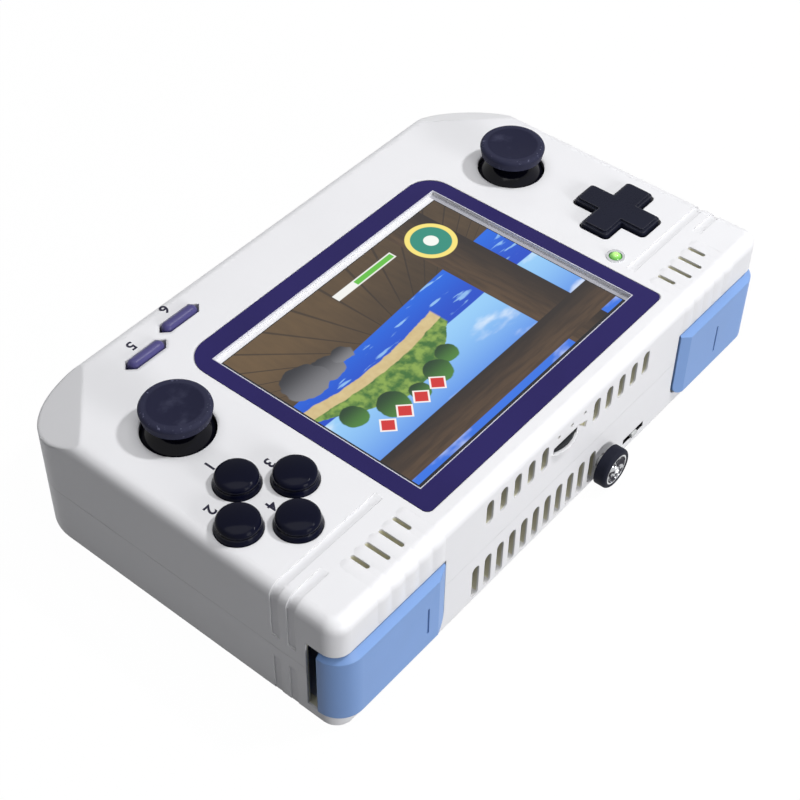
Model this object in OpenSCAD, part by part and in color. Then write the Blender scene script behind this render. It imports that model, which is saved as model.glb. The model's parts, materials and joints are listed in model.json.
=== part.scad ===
// Handheld game console: two moulded shells, a screen, sticks, buttons and triggers.
// X points to the player's right, Y to the trigger edge and Z out of the screen.
// The origin lies on the back face, straight behind the centre of the screen. Millimetres.

/* [Case] */
// Width of each grip beside the bezel
grip_w = 33; // [32:0.2:38]
// Height of the case above the bezel
brow = 5.35; // [5.2:0.05:7]
// Height of the case below the bezel
chin = 16.35; // [15.6:0.05:20]
// Thickness from the back face to the front face
case_t = 32; // [31:0.5:40]
// Wall thickness of both shells
wall = 2.2; // [1.9:0.1:2.4]
// Height of the parting line above the back face
split_z = 14.5; // [13.8:0.1:15.2]
// Shadow gap along the parting line
split_gap = 0.05; // [0.03:0.01:0.2]
// Radius of the front edge
front_fillet = 3; // [2:0.1:3.4]
// Radius of the back edge
back_fillet = 0.8; // [0.6:0.1:2.2]
// Plan radius of the two lower corners
low_corner_r = 12; // [8:0.5:14]
// Plan radius of the two upper corners
top_corner_r = 4; // [3.5:0.5:7]
// Leg of each sloped lower corner along the edges
facet_leg = 20.6; // [16:0.2:22]
// Slope of the lower corners, in degrees
facet_slope = 27; // [15:1:30]
// Height of the locating lip on the rear shell
lip_h = 1.4; // [1:0.1:2]
// Thickness of the locating lip
lip_t = 1; // [0.8:0.1:1.2]

/* [Screen] */
// Width of the window
window_w = 73.3; // [72:0.1:82]
// Height of the window
window_h = 55.8; // [54:0.1:60]
// Depth of the panel below the front face
window_depth = 1; // [0.8:0.1:1.4]
// Width of the bezel beside the window
bezel_side = 4.15; // [3.4:0.05:5]
// Height of the bezel over and under the window
bezel_over = 5.35; // [4.8:0.05:6]
// Thickness of the bezel plate
bezel_t = 0.25; // [0.2:0.05:0.6]
// Radius of the lower bezel corners
bezel_low_r = 6.5; // [3:0.5:8]
// Radius of the upper bezel corners
bezel_top_r = 1.6; // [0.5:0.1:4]
// Border of the panel beside the window
panel_side = 1.8; // [1.2:0.1:2.4]
// Border of the panel over and under the window
panel_over = 4.05; // [2.5:0.05:4.6]
// Thickness of the screen panel
panel_t = 3.2; // [2.8:0.1:4]

/* [Sticks] */
// Distance of each stick from the side of the case
stick_inset = 18.1; // [17:0.1:20]
// Distance of the sticks below the screen centre
stick_drop = 19.4; // [18:0.1:22]
// Diameter of the stick holes
stick_hole_d = 15.9; // [15.5:0.1:16.8]
// Depth of the stick pivots below the front face
pivot_depth = 6.5; // [6.2:0.1:7]
// Outer radius of the dome under each cap
dome_r = 9.4; // [9.2:0.1:9.6]
// Diameter of the caps
cap_d = 15.2; // [14:0.1:16]
// Height of the cap tops above the front face
cap_rise = 7; // [6.8:0.1:9]
// Largest tilt of each stick, in degrees
stick_tilt = 15; // [10:1:15]

/* [Face buttons] */
// Distance of the button diamond from the side of the case
face_inset = 15.1; // [15:0.1:18]
// Height of the diamond above the screen centre
face_y = 7.8; // [6:0.1:9]
// Distance of each button from the diamond's centre
face_pitch = 8.05; // [7.95:0.05:8.6]
// Diameter of the buttons where they pass the shell
button_d = 9.7; // [9.5:0.1:10.2]
// Diameter of the button tops
button_top_d = 9; // [8.6:0.1:9.4]
// Height of the button tops above the front face
button_rise = 3.3; // [2.8:0.1:4]
// Travel of the face buttons
button_travel = 1.5; // [1:0.1:1.8]

/* [Direction pad] */
// Distance of the pad from the side of the case
pad_inset = 15.6; // [15:0.1:18]
// Height of the pad above the screen centre
pad_y = 9.2; // [7:0.1:10]
// Span of the cross
pad_span = 19; // [18:0.1:20]
// Width of the arms
pad_arm = 7; // [6:0.1:7.6]
// Height of the pad above the front face
pad_rise = 1.5; // [1:0.1:2.5]
// Radius of the pivot ball under the pad
pad_ball_r = 2; // [1.6:0.1:2.2]
// Largest tilt of the pad, in degrees
pad_tilt = 5; // [3:0.5:5]

/* [Menu buttons] */
// Distance of the start button from the side of the case
start_inset = 28.9; // [28:0.1:30]
// Distance of the start button from the lower edge
start_up = 10; // [9.4:0.1:10.4]
// Distance of the select button from the side of the case
select_inset = 41.4; // [41:0.1:43]
// Distance of the select button from the lower edge
select_up = 7.4; // [7:0.1:8]
// Length of the menu buttons
menu_len = 9.8; // [8:0.1:10.2]
// Width of the menu buttons
menu_w = 2.9; // [2.4:0.1:3.4]
// Height of the menu buttons above the front face
menu_rise = 1.1; // [0.9:0.1:1.6]
// Travel of the menu buttons
menu_travel = 0.8; // [0.5:0.1:0.9]

/* [Power light] */
// Distance of the light from the bezel
led_off = 4.2; // [3.6:0.1:4.6]
// Distance of the light below the upper edge
led_down = 20.7; // [20.4:0.1:21.6]
// Diameter of the light
led_d = 3; // [2.6:0.1:3.2]
// Diameter of the ring round the light
led_ring_d = 3.9; // [3.7:0.1:4.6]

/* [Triggers] */
// Distance of each trigger's inner end from the bezel
trig_off = 1.2; // [1:0.1:3]
// Height of the trigger's lower face above the back face
trig_z = 3.5; // [3.3:0.1:4]
// Height of the trigger from its lower to its upper face
trig_h = 18.8; // [17:0.1:19]
// How far the trigger face stands out of the upper wall
trig_proud = 1.4; // [1:0.1:2]
// How far the trigger stands out of the side wall
trig_side_proud = 0.4; // [0.2:0.1:0.6]
// Radius of the trigger's outer corner
trig_corner_r = 6; // [4:0.1:6.3]
// Distance from the upper wall to the trigger's end on the side wall
trig_side_len = 5; // [4.8:0.1:5.6]
// Height of the chamfer along the trigger's front edge
trig_chamfer = 1.6; // [1.2:0.1:3]
// Wall thickness of the triggers
trig_wall = 2.2; // [1.8:0.1:2.4]
// Largest turn of a trigger, in degrees
trig_turn = 5; // [3:0.5:5]
// Diameter of the trigger pins
trig_pin_d = 2; // [1.6:0.1:2.2]

/* [Vents and speakers] */
// Pitch of the flutes and of the speaker slots
flute_pitch = 4.1; // [4:0.05:4.2]
// Height of the flutes above the upper wall
flute_rise = 0.3; // [0.2:0.05:0.7]
// Height of the flutes above the front face
flute_low = 0.15; // [0.15:0.05:0.4]
// Width of the speaker slots
slot_w = 1; // [0.8:0.1:1.2]
// Length of the middle speaker slots
slot_len = 6.1; // [5:0.1:6.3]
// Length of the outer speaker slots
slot_short = 4.5; // [3.6:0.1:4.8]
// Width of the vents in the upper wall
vent_w = 2.3; // [1.6:0.1:2.4]
// Pitch of the upper row of vents
vent_pitch = 4.61; // [4.4:0.01:4.7]
// Pitch of the lower row of vents
low_vent_pitch = 4.14; // [4:0.01:4.2]
// Width of the channels across the shoulders
channel_w = 2.1; // [1.6:0.1:2.4]
// Depth of the channels
channel_depth = 0.35; // [0.3:0.05:0.5]

/* [Edge controls] */
// Radius of the thumbwheel
wheel_r = 8.5; // [8:0.1:9]
// Thickness of the thumbwheel
wheel_t = 1; // [0.8:0.1:1.2]
// How far the wheel stands out of the upper wall
wheel_proud = 0.7; // [0.6:0.1:0.9]
// Height of the thumbwheel's middle above the back face
wheel_z = 24.5; // [24.3:0.1:24.7]
// Diameter of the knob
knob_d = 9.7; // [9:0.1:9.8]
// Length of the knob's rubber rim
knob_len = 2.9; // [2.6:0.1:5]
// Height of the knob's axis above the back face
knob_z = 5.3; // [5.2:0.1:6]
// Diameter of the knob's shaft
knob_shaft_d = 3; // [2.4:0.1:3.2]
// Travel of the slide switch
switch_travel = 5.4; // [4:0.1:5.6]

/* [Inside] */
// Thickness of the circuit boards
board_t = 1.6; // [1.2:0.1:1.8]
// Depth of the button boards' upper faces below the front face
board_depth = 12.5; // [12.4:0.1:13]
// Height of the contact domes
dome_h = 1.6; // [1.2:0.1:1.8]
// Thickness of the blower
blower_t = 8.6; // [8:0.1:8.8]
// Side of the square blower housing
blower_side = 38; // [36:0.5:38.5]
// Number of blower blades
blower_blades = 19; // [11:1:23]
// Thickness of the heat sink's base
sink_base_t = 1.8; // [1.5:0.1:2]
// Thickness of each battery
battery_t = 11.5; // [8:0.1:12.5]

/* [Fits] */
// Gap round a piece that moves
move_gap = 0.3; // [0.25:0.05:0.35]
// Radial clearance of a turning shaft
run_gap = 0.05; // [0.03:0.01:0.08]
// Gap round a piece that is laid in place
seat_gap = 0.15; // [0.1:0.05:0.2]
// Radial play of a pressed pin, screw or ring
press_gap = 0.02; // [0.01:0.01:0.03]

/* [Hidden] */
$fn = 64;

white_c = [0.93, 0.93, 0.94];
purple_c = [0.20, 0.17, 0.40];
blue_c = [0.50, 0.63, 0.84];
black_c = [0.09, 0.09, 0.13];
rubber_c = [0.14, 0.14, 0.21];
lilac_c = [0.35, 0.33, 0.54];
green_c = [0.45, 0.80, 0.28];
steel_c = [0.75, 0.75, 0.77];
board_c = [0.10, 0.36, 0.22];
grey_c = [0.45, 0.46, 0.48];
silicone_c = [0.70, 0.71, 0.72];
screen_c = [0.30, 0.25, 0.18];

// Overcut of every cutting tool
cut = 1;
// Tilt about both axes at once, against the tilt about one
two_way = sqrt(2);

// Screen and case, sized outwards from the window
bezel_w = window_w + 2 * bezel_side;
bezel_h = window_h + 2 * bezel_over;
panel_w = window_w + 2 * panel_side;
panel_h = window_h + 2 * panel_over;
case_w = bezel_w + 2 * grip_w;
case_h = brow + bezel_h + chin;
screen_to_top = bezel_h / 2 + brow;

// Faces of the case
x_side = case_w / 2;
y_top = screen_to_top;
y_low = screen_to_top - case_h;
front_z = case_t;
front_in = case_t - wall;
side_in = x_side - wall;
top_in = y_top - wall;
low_in = y_low + wall;

// Controls
stick_x = x_side - stick_inset;
stick_y = -stick_drop;
pivot_z = front_z - pivot_depth;
face_x = x_side - face_inset;
face_spots = [for (i = [0:3]) [face_x + face_pitch * cos(90 * i), face_y + face_pitch * sin(90 * i)]];
pad_x = -(x_side - pad_inset);
menu_spots = [[x_side - start_inset, y_low + start_up], [x_side - select_inset, y_low + select_up]];
led_x = -(bezel_w / 2 + led_off);
led_y = y_top - led_down;
led_rise = 1;
led_root = 1.6;
led_flange = 0.5;
led_flange_t = 1;
led_leg = 0.5;
led_leg_pitch = 1.8;
led_lip = 0.2;
button_hole_d = button_d + 2 * seat_gap;

// Button boards hang on bosses under the front shell
board_z = front_z - board_depth - board_t;
board_top = board_z + board_t;
board_slack = 0.6;
board_x = bezel_w / 2 + 3 * board_slack;
board_out_x = side_in - board_slack;
board_low_y = stick_y - 14.7;
board_high_y = y_top - 10.1;
membrane_t = 0.7;
contact_r = [3, 2];
contact_bore_r = 1.6;
contact_skin = 0.7;
boss_r = 2.5;
boss_in_x = bezel_w / 2 + 5.2;
boss_out_x = x_side - 5.2;
boss_spots = [
    [boss_in_x, board_high_y - 5], [boss_out_x, board_high_y - 8],
    [boss_in_x, board_low_y + 3], [boss_out_x, board_low_y + 4]
];
menu_pad = 6.5;
menu_pad_over = 2.5;

// Stick mechanisms
gimbal_r = 6;
gimbal_bore_r = 4;
gimbal_h = 3.2;
trunnion_r = 1;
trunnion_len = 2.4;
trunnion_root = 0.6;
cross_pin_r = 0.8;
cross_pin_len = 2 * (gimbal_r - move_gap);
post_core_r = 2;
post_tail = 3.6;
post_cover = 2.4;
dome_skin = 0.8;
cup_r = 8;
cup_bore_r = 6.7;
cup_rise = 1.9;
cup_floor = 1;
cap_rim = 0.9;
cap_t = 2.7;
cap_draft = 0.4;
cap_dish = 0.35;
cap_dish_edge = 1.1;

// Direction pad on its ball
pad_pivot_z = front_z - 4.4;
pad_gap = 0.6;
pad_edge_r = 0.8;
pad_chamfer = 0.5;
pad_stud_r = 1.7;
pad_stud_at = 7;
pad_flange_r = pad_span / 2 + 0.9;
pad_flange_t = 1.2;
pad_flange_z = front_in - pad_flange_r * sin(two_way * pad_tilt) - move_gap - pad_flange_t;
pad_post_r = pad_ball_r + move_gap;
pad_mouth_r = pad_ball_r + 1;

// Face and menu buttons
face_flange_r = button_d / 2 + 0.5;
face_flange_t = 1.2;
face_stud_r = 3;
face_skirt = [0.4, 1.3];
face_taper = 0.35;
face_step = 0.2;
face_edge_r = 1;
face_crown_r = 17;
face_sheet_r = face_pitch + 4;
menu_gap = 1.1;
menu_flange = [3.4, 1.6];
menu_flange_t = 1;
menu_stud_r = 1.3;
menu_lane_r = 3.4;

// Triggers turn on upright pins at their inner ends
trig_x = bezel_w / 2 + trig_off;
trig_top_z = trig_z + trig_h;
trig_face_y = y_top + trig_proud;
trig_out_x = x_side + trig_side_proud;
trig_end_y = y_top - trig_side_len;
trig_web = 2;
trig_block = 6;
trig_low_r = 3;
trig_gap = 0.4;
trig_open_x = trig_x - trig_gap - trig_gap / 4;
trig_pin_in = 2.6;
trig_pin_x = trig_x + trig_pin_in;
trig_pin_y = y_top - trig_pin_in;
trig_reach = x_side - trig_pin_x;
trig_sweep = trig_reach * sin(trig_turn);
trig_open_y = trig_end_y - trig_sweep - trig_gap;
trig_rib_x = x_side - 7.8;
trig_rib_t = 2;
trig_rib_y = trig_end_y - trig_gap;
trig_end_run = 3;
trig_end_proud = 0.3;
trig_rim_t = 0.8;
trig_thin_run = 2.4;
left_mark_x = trig_x + 15.2;
right_mark_x = trig_x + 6.4;
trig_mark_z = trig_z + 7.8;
trig_mark = [0.6, 0.3, 7.8];
pin_sink = 1.2;
pin_ear_t = 2.8;
pin_ear_skin = 0.6;
pin_ear_w = trig_pin_d + 4;
pin_end_gap = 0.2;
pin_top_z = trig_top_z + trig_gap + pin_ear_t - pin_ear_skin;
tact_body = [6, 3.6, 4];
tact_tip_r = 1.5;

// Shoulder flutes, speaker slots and channels
flute_x = bezel_w / 2 + 1;
flute_count = 5;
flute_vale = 0.3;
flute_stop = 1;
flute_y = y_top - 9.2;
slot_y = y_top - 10;
slot_count = 4;
speaker_w = 15;
speaker_h = 8;
speaker_t = 3.6;
speaker_rim = 1.2;
speaker_corner = 2;
speaker_sink = 0.8;
speaker_x = flute_x + flute_count / 2 * flute_pitch;
speaker_y = y_top - 7.1;
channel_y = [y_top - 15.65, y_top - 11.45];
channel_end = [x_side - 30.6, x_side - 9.8];
channel_run = 3;
channel_side_z = split_z + 3.4;
channel_back_z = split_z - 3.2;

// Vents
vent_first = 2 * vent_pitch;
vent_count = 5;
vent_z = [21.4, 28];
vent_tip_d = 0.9;
vent_tip_depth = 0.8;
vent_wedge = [[-2.5, 25.5], [-5.9, 24.3], [-5.4, 22.7]];
low_vent_x = 31.2;
low_vent_count = 11;
low_vent_z = [1.3, 10.8];

// Thumbwheel, knob and slide switch on the upper wall
wheel_x = 2.1;
wheel_y = y_top + wheel_proud - wheel_r;
wheel_pin_r = 1.2;
wheel_pot_t = 3.2;
wheel_pot_w = 9;
wheel_lip = 0.7;
wheel_lip_h = 2.6;
wheel_shelf_t = 1.1;
knob_x = -13.7;
knob_y = y_top + 1.6;
knob_rim_t = 1.1;
knob_edge_r = 0.8;
knob_sink = 0.1;
knob_skin = 2;
knob_ring_w = 0.4;
knob_bowl_r = 1.3;
knob_bowl_up = 0.2;
knob_pot_w = 5.9;
knob_pot_len = 8.4;
knob_shaft_in = 1;
switch_in = 13.9;
switch_x = switch_in - bezel_w / 2;
switch_z = 3.2;
nub_w = 2;
nub_h = 1.1;
nub_proud = 0.4;
nub_root = 0.8;
switch_w = 11;
switch_len = 5.2;
switch_h = 3;
switch_lane = 1;

// Stack of boards under the screen
blower_x = 11;
blower_y = top_in - 29.9;
blower_z = wall;
sink_z = blower_z + blower_t;
sink_x = [-7.5, 29.8];
blower_skin = 1;
blower_corner = 3;
blower_wall = 1.6;
blower_mouth = 5;
rotor_pin_d = 2;
rotor_gap = 0.8;
hub_r = 8.5;
blade_t = 0.8;
blade_lean = 18;
blade_root = 0.5;
web_t = 1;
fin_slack = 0.4;
fin_air = 0.7;
chip_z = sink_z + sink_base_t;
chip_t = 1.2;
chip_side = 24;
main_z = chip_z + chip_t;
main_edge = 3.5;
main_half = panel_w / 2 - 1.45;
main_low_y = -panel_h / 2 - 1.05;
main_high_y = top_in - 8.4;
main_rows = [main_low_y + main_edge, main_high_y - main_edge];
main_spots = [for (x = [-1, 1]) for (y = main_rows) [x * (main_half - main_edge), y]];
socket_w = 8.9;
socket_h = 3.2;
socket_len = 7.3;
socket_inset = 0.6;
socket_skin = 0.4;
socket_back = 1;
socket_tongue = [6.7, 0.7];
panel_top = front_z - window_depth;
panel_z = panel_top - panel_t;
driver_t = 1.2;
driver_less = [16, 20];
battery_short = 6.5;
battery_slack = 2;
battery_corner = 2;

// Screws
case_screw_d = 2.5;
case_head_d = 4.6;
case_head_t = 1.8;
case_screw_len = 14;
case_seat_z = split_z / 2;
case_spots = [
    [x_side - 11.8, y_low + 8.6], [panel_w * 0.26, y_low + 5.1], [trig_open_x - 4, y_top - 5.2]
];
post_r = 3.4;
small_screw_d = 2;
small_head_d = 3.6;
small_head_t = 1.3;
small_screw_len = 6;
case_drive = [2.6, 0.7, 1.4];

// Plan shapes

// Corner waste outside a quarter circle
module corner_nick(r) {
    difference() {
        square([r + cut, r + cut]);
        circle(r);
    }
}

// Upright plate outline with one radius for its lower and one for its upper corners
module plate_plan(half, low, top, low_r, top_r) {
    mid = (low + low_r + top - top_r) / 2;
    translate([-half, low + low_r]) square([2 * half, top - low - low_r - top_r]);
    translate([-half + low_r, low]) square([2 * (half - low_r), mid - low]);
    translate([-half + top_r, mid]) square([2 * (half - top_r), top - mid]);
    for (side = [-1, 1]) {
        translate([side * (half - low_r), low + low_r]) circle(low_r);
        translate([side * (half - top_r), top - top_r]) circle(top_r);
    }
}

module case_plan(inset) {
    plate_plan(x_side - inset, y_low + inset, y_top - inset, low_corner_r - inset, top_corner_r - inset);
}

module rounded_plan(w, h, r) {
    plate_plan(w / 2, -h / 2, h / 2, r, r);
}

module obround_plan(w, h) {
    square([w - h, h], center = true);
    for (side = [-1, 1]) translate([side * (w - h) / 2, 0]) circle(d = h);
}

// Bar with slanted ends
module slanted_plan(w, h) {
    polygon([
        [-w / 2, 0], [-w / 2 + h / 2, -h / 2], [w / 2 - h / 2, -h / 2],
        [w / 2, 0], [w / 2 - h / 2, h / 2], [-w / 2 + h / 2, h / 2]
    ]);
}

module cross_plan(span, arm, r) {
    rounded_plan(span, arm, r);
    rounded_plan(arm, span, r);
}

// Both sides of the case
module both_sides() {
    for (side = [0, 1]) mirror([side, 0, 0]) children();
}

// Lays a plan of X and Z on the upper wall, from depth y0 out to y1
module on_upper_wall(y0, y1) {
    translate([0, y1, 0]) rotate([90, 0, 0]) linear_extrude(y1 - y0) children();
}

// Case

// Section of the case from a middle plane out to its rounded edge
module edge_section(run) {
    difference() {
        square([run, case_t]);
        translate([run - front_fillet, case_t - front_fillet]) corner_nick(front_fillet);
        translate([run - back_fillet, back_fillet]) mirror([0, 1, 0]) corner_nick(back_fillet);
    }
}

module corner_post(x, y, r) {
    translate([x, y, 0]) rotate_extrude() edge_section(r);
}

module case_block() {
    low_half = x_side - low_corner_r;
    top_half = x_side - top_corner_r;
    both_sides() {
        corner_post(low_half, y_low + low_corner_r, low_corner_r);
        corner_post(top_half, y_top - top_corner_r, top_corner_r);
        translate([0, y_top - top_corner_r, 0]) rotate([90, 0, 0])
            linear_extrude(case_h - low_corner_r - top_corner_r) edge_section(x_side);
    }
    translate([-top_half, 0, 0]) rotate([90, 0, 90])
        linear_extrude(2 * top_half) edge_section(y_top);
    mirror([0, 1, 0]) translate([-low_half, 0, 0]) rotate([90, 0, 90])
        linear_extrude(2 * low_half) edge_section(-y_low);
}

// Waste over the sloped lower corners, lowered by depth along their normal
module lower_slopes(depth) {
    reach = 2 * facet_leg;
    both_sides()
        translate([x_side - facet_leg / 2, y_low + facet_leg / 2, front_z])
        rotate([0, 0, -45]) rotate([0, facet_slope, 0])
        translate([-reach / 4, -reach, -depth]) cube([reach, 2 * reach, reach]);
}

module cavity() {
    difference() {
        translate([0, 0, wall]) linear_extrude(front_in - wall) case_plan(wall);
        lower_slopes(wall);
    }
}

// Ring of the locating lip, widened by slack for its groove
module lip_ring(slack) {
    translate([0, 0, split_z - slack]) linear_extrude(lip_h + 2 * slack) difference() {
        case_plan(wall - lip_t - slack);
        case_plan(wall + slack);
    }
}

// Waste of the trigger openings, which run round the upper corners to a thinned rim
module trigger_openings() {
    z0 = trig_z - trig_gap;
    z1 = trig_top_z + trig_gap;
    r = trig_low_r + trig_gap;
    x1 = trig_out_x + cut;
    y1 = trig_face_y + cut;
    both_sides() {
        on_upper_wall(top_in - cut, y1) difference() {
            translate([trig_open_x, z0]) square([x1 - trig_open_x, z1 - z0]);
            translate([trig_open_x + r, z0 + r]) rotate(180) corner_nick(r);
        }
        translate([side_in - cut, trig_open_y, z0]) cube([x1 - side_in + cut, y1 - trig_open_y, z1 - z0]);
        translate([trig_open_x + r, trig_open_y, z0])
            cube([side_in - trig_open_x - r, top_in - trig_open_y, z1 - z0]);
        translate([side_in - cut, trig_open_y - trig_thin_run, z0])
            cube([wall - trig_rim_t + cut, trig_thin_run + cut, z1 - z0]);
    }
}

// Waste of the shoulder channels: from a run-out along the front, round the edge and down the side
module front_channels() {
    r = front_fillet;
    d = channel_depth;
    run_r = (channel_run * channel_run + d * d) / (2 * d);
    both_sides() for (i = [0:1]) {
        deep_x = channel_end[i] + channel_run;
        translate([deep_x, channel_y[i] + channel_w / 2, front_z - d + run_r])
            rotate([90, 0, 0]) cylinder(r = run_r, h = channel_w);
        translate([deep_x, channel_y[i] - channel_w / 2, front_z - d])
            cube([x_side - r - deep_x, channel_w, d + cut]);
        translate([x_side - r, channel_y[i] + channel_w / 2, front_z - r])
            rotate([90, 0, 0]) rotate_extrude(angle = 90)
            translate([r - d, 0]) square([d + cut, channel_w]);
        translate([x_side - d, channel_y[i] - channel_w / 2, channel_side_z])
            cube([d + cut, channel_w, front_z - r - channel_side_z]);
    }
}

module back_channels() {
    both_sides() for (y = channel_y)
        translate([x_side - channel_depth, y - channel_w / 2, -cut])
            cube([channel_depth + cut, channel_w, channel_back_z + cut]);
}

// Convex flutes that run between the speaker slots, over the front edge and down the upper wall
module shoulder_flutes() {
    half = (flute_pitch - flute_vale) / 2;
    r = (half * half + flute_rise * flute_rise) / (2 * flute_rise);
    f = front_fillet + flute_low;
    low = trig_top_z + trig_gap + flute_stop;
    crest_y = y_top + flute_rise;
    crest_z = front_z + flute_low;
    both_sides() for (i = [0:flute_count - 1]) translate([flute_x + (i + 0.5) * flute_pitch, 0, 0]) {
        translate([0, crest_y, low]) linear_extrude(crest_z - f - low) flute_section(r, half);
        translate([0, crest_y - f, crest_z - f]) rotate([0, 90, 0]) rotate([0, 0, 90])
            rotate_extrude(angle = 90) rotate(-90) translate([0, f]) flute_section(r, half);
        translate([0, crest_y - f, crest_z]) rotate([90, 0, 0])
            linear_extrude(crest_y - f - flute_y) flute_section(r, half);
        translate([0, flute_y, crest_z]) rotate_extrude() intersection() {
            flute_section(r, half);
            translate([0, -wall]) square([half, 2 * wall]);
        }
    }
}

// Segment of a circle with its crown at the origin
module flute_section(r, half) {
    intersection() {
        translate([0, -r]) circle(r);
        translate([-half, -wall / 2]) square([2 * half, wall]);
    }
}

module front_shell() {
    color(white_c) difference() {
        union() {
            intersection() {
                difference() {
                    case_block();
                    lower_slopes(0);
                    cavity();
                }
                translate([-case_w, -case_h, split_z + split_gap]) cube([2 * case_w, 2 * case_h, case_t]);
            }
            shoulder_flutes();
            difference() {
                front_bosses();
                lower_slopes(wall / 2);
            }
            wheel_shelf();
            both_sides() pin_ear(trig_top_z + trig_gap, pin_ear_t);
        }
        lip_ring(seat_gap);
        trigger_openings();
        front_channels();
        screen_cuts();
        control_holes();
        speaker_slots();
        upper_vents();
        vent_tips();
        wheel_slot();
        boss_bores();
        pin_bores();
    }
}

// Block that holds one end of a trigger pin, inside the upper wall
module pin_ear(z, t) {
    y0 = trig_pin_y - trig_pin_d - pin_ear_skin;
    translate([trig_open_x, y0, z]) cube([pin_ear_w, top_in - y0 + wall / 2, t]);
}

module pin_bores() {
    z0 = wall - pin_sink;
    both_sides() translate([trig_pin_x, trig_pin_y, z0])
        cylinder(d = trig_pin_d + 2 * press_gap, h = pin_top_z + pin_end_gap - z0);
}

module front_bosses() {
    z0 = split_z + split_gap;
    z1 = front_in + wall / 4;
    both_sides() {
        for (p = case_spots) translate([p[0], p[1], z0]) cylinder(r = post_r, h = z1 - z0);
        for (p = boss_spots) translate([p[0], p[1], board_top]) cylinder(r = boss_r, h = z1 - board_top);
    }
}

module boss_bores() {
    both_sides() {
        for (p = case_spots) translate([p[0], p[1], split_z])
            cylinder(d = case_screw_d + 2 * press_gap, h = case_seat_z + case_screw_len - split_z + cut);
        for (p = boss_spots) translate([p[0], p[1], board_top - cut])
            cylinder(d = small_screw_d + 2 * press_gap, h = small_screw_len - board_t + 2 * cut);
    }
}

module screen_cuts() {
    translate([0, 0, front_z - bezel_t]) linear_extrude(bezel_t + cut) bezel_plan(seat_gap);
    translate([-window_w / 2, -window_h / 2, panel_z])
        cube([window_w, window_h, panel_t + window_depth + cut]);
    translate([0, 0, panel_z - cut]) linear_extrude(panel_t + cut)
        square([panel_w + 2 * seat_gap, panel_h + 2 * seat_gap], center = true);
}

module control_holes() {
    both_sides() translate([stick_x, stick_y, pivot_z]) {
        cylinder(d = stick_hole_d, h = pivot_depth + cut);
        sphere(r = dome_r + move_gap);
    }
    for (p = face_spots) translate([p[0], p[1], 0]) {
        translate([0, 0, front_in - cut]) cylinder(d = button_hole_d, h = wall + 2 * cut);
        translate([0, 0, board_top]) cylinder(r = face_flange_r + move_gap, h = front_in - board_top);
    }
    translate([pad_x, pad_y, front_in - cut]) linear_extrude(wall + 2 * cut)
        cross_plan(pad_span + 2 * pad_gap, pad_arm + 2 * pad_gap, pad_edge_r + pad_gap);
    for (p = menu_spots) translate([p[0], p[1], front_in - cut]) linear_extrude(wall + 2 * cut)
        slanted_plan(menu_len + 2 * menu_gap, menu_w + 2 * move_gap);
    translate([led_x, led_y, front_in - cut])
        cylinder(d = led_ring_d + 2 * press_gap, h = wall + 2 * cut);
}

module speaker_slots() {
    both_sides() for (i = [1:slot_count]) {
        len = (i == 1 || i == slot_count) ? slot_short : slot_len;
        translate([flute_x + i * flute_pitch, slot_y + len / 2, front_in - cut])
            linear_extrude(wall + flute_rise + 2 * cut) rotate(90) obround_plan(len, slot_w);
    }
}

module upper_vents() {
    for (side = [-1, 1]) for (i = [0:vent_count - 1])
        on_upper_wall(top_in - cut, y_top + cut)
            translate([side * (vent_first + i * vent_pitch), (vent_z[0] + vent_z[1]) / 2])
            rotate(90) obround_plan(vent_z[1] - vent_z[0], vent_w);
}

// Blind upper tips and one corner of the vents that the thumbwheel's housing closes
module vent_tips() {
    on_upper_wall(y_top - vent_tip_depth, y_top + cut) {
        for (i = [-1:1]) translate([i * vent_pitch, vent_z[1] - vent_tip_d / 2]) circle(d = vent_tip_d);
        polygon(vent_wedge);
    }
}

// Flared lip under the thumbwheel, and a shelf for its potentiometer
module wheel_shelf() {
    z = wheel_z - wheel_t / 2 - move_gap;
    shelf_y = wheel_y - wheel_pot_w / 2;
    intersection() {
        translate([wheel_x, wheel_y, z - wheel_lip_h])
            cylinder(r1 = wheel_r - wheel_proud - move_gap, r2 = wheel_r + wheel_lip, h = wheel_lip_h);
        translate([wheel_x - wheel_r, top_in, z - wheel_lip_h])
            cube([2 * wheel_r, wall + wheel_r, wheel_lip_h]);
    }
    translate([wheel_x - wheel_pot_w / 2, shelf_y, z - wheel_pot_t - wheel_shelf_t])
        cube([wheel_pot_w, top_in - shelf_y + wall / 2, wheel_shelf_t]);
}

module wheel_slot() {
    translate([wheel_x, wheel_y, wheel_z - wheel_t / 2 - move_gap])
        cylinder(r = wheel_r + move_gap, h = wheel_t + 2 * move_gap);
}

module rear_shell() {
    color(white_c) difference() {
        union() {
            intersection() {
                difference() {
                    case_block();
                    cavity();
                }
                translate([-case_w, -case_h, -cut]) cube([2 * case_w, 2 * case_h, split_z + cut]);
            }
            lip_ring(0);
            both_sides() for (p = case_spots) translate([p[0], p[1], wall / 2])
                cylinder(r = post_r, h = split_z - wall / 2);
            for (p = main_spots) translate([p[0], p[1], wall / 2])
                cylinder(r = boss_r, h = main_z - wall / 2);
            both_sides() pin_ear(wall / 2, trig_z - trig_gap - wall / 2);
        }
        trigger_openings();
        back_channels();
        lower_vents();
        intake_slots();
        rear_bores();
        pin_bores();
        edge_cuts();
    }
}

module lower_vents() {
    for (i = [0:low_vent_count - 1])
        on_upper_wall(top_in - cut, y_top + cut)
            translate([low_vent_x - i * low_vent_pitch, (low_vent_z[0] + low_vent_z[1]) / 2])
            rotate(90) obround_plan(low_vent_z[1] - low_vent_z[0], vent_w);
}

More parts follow.
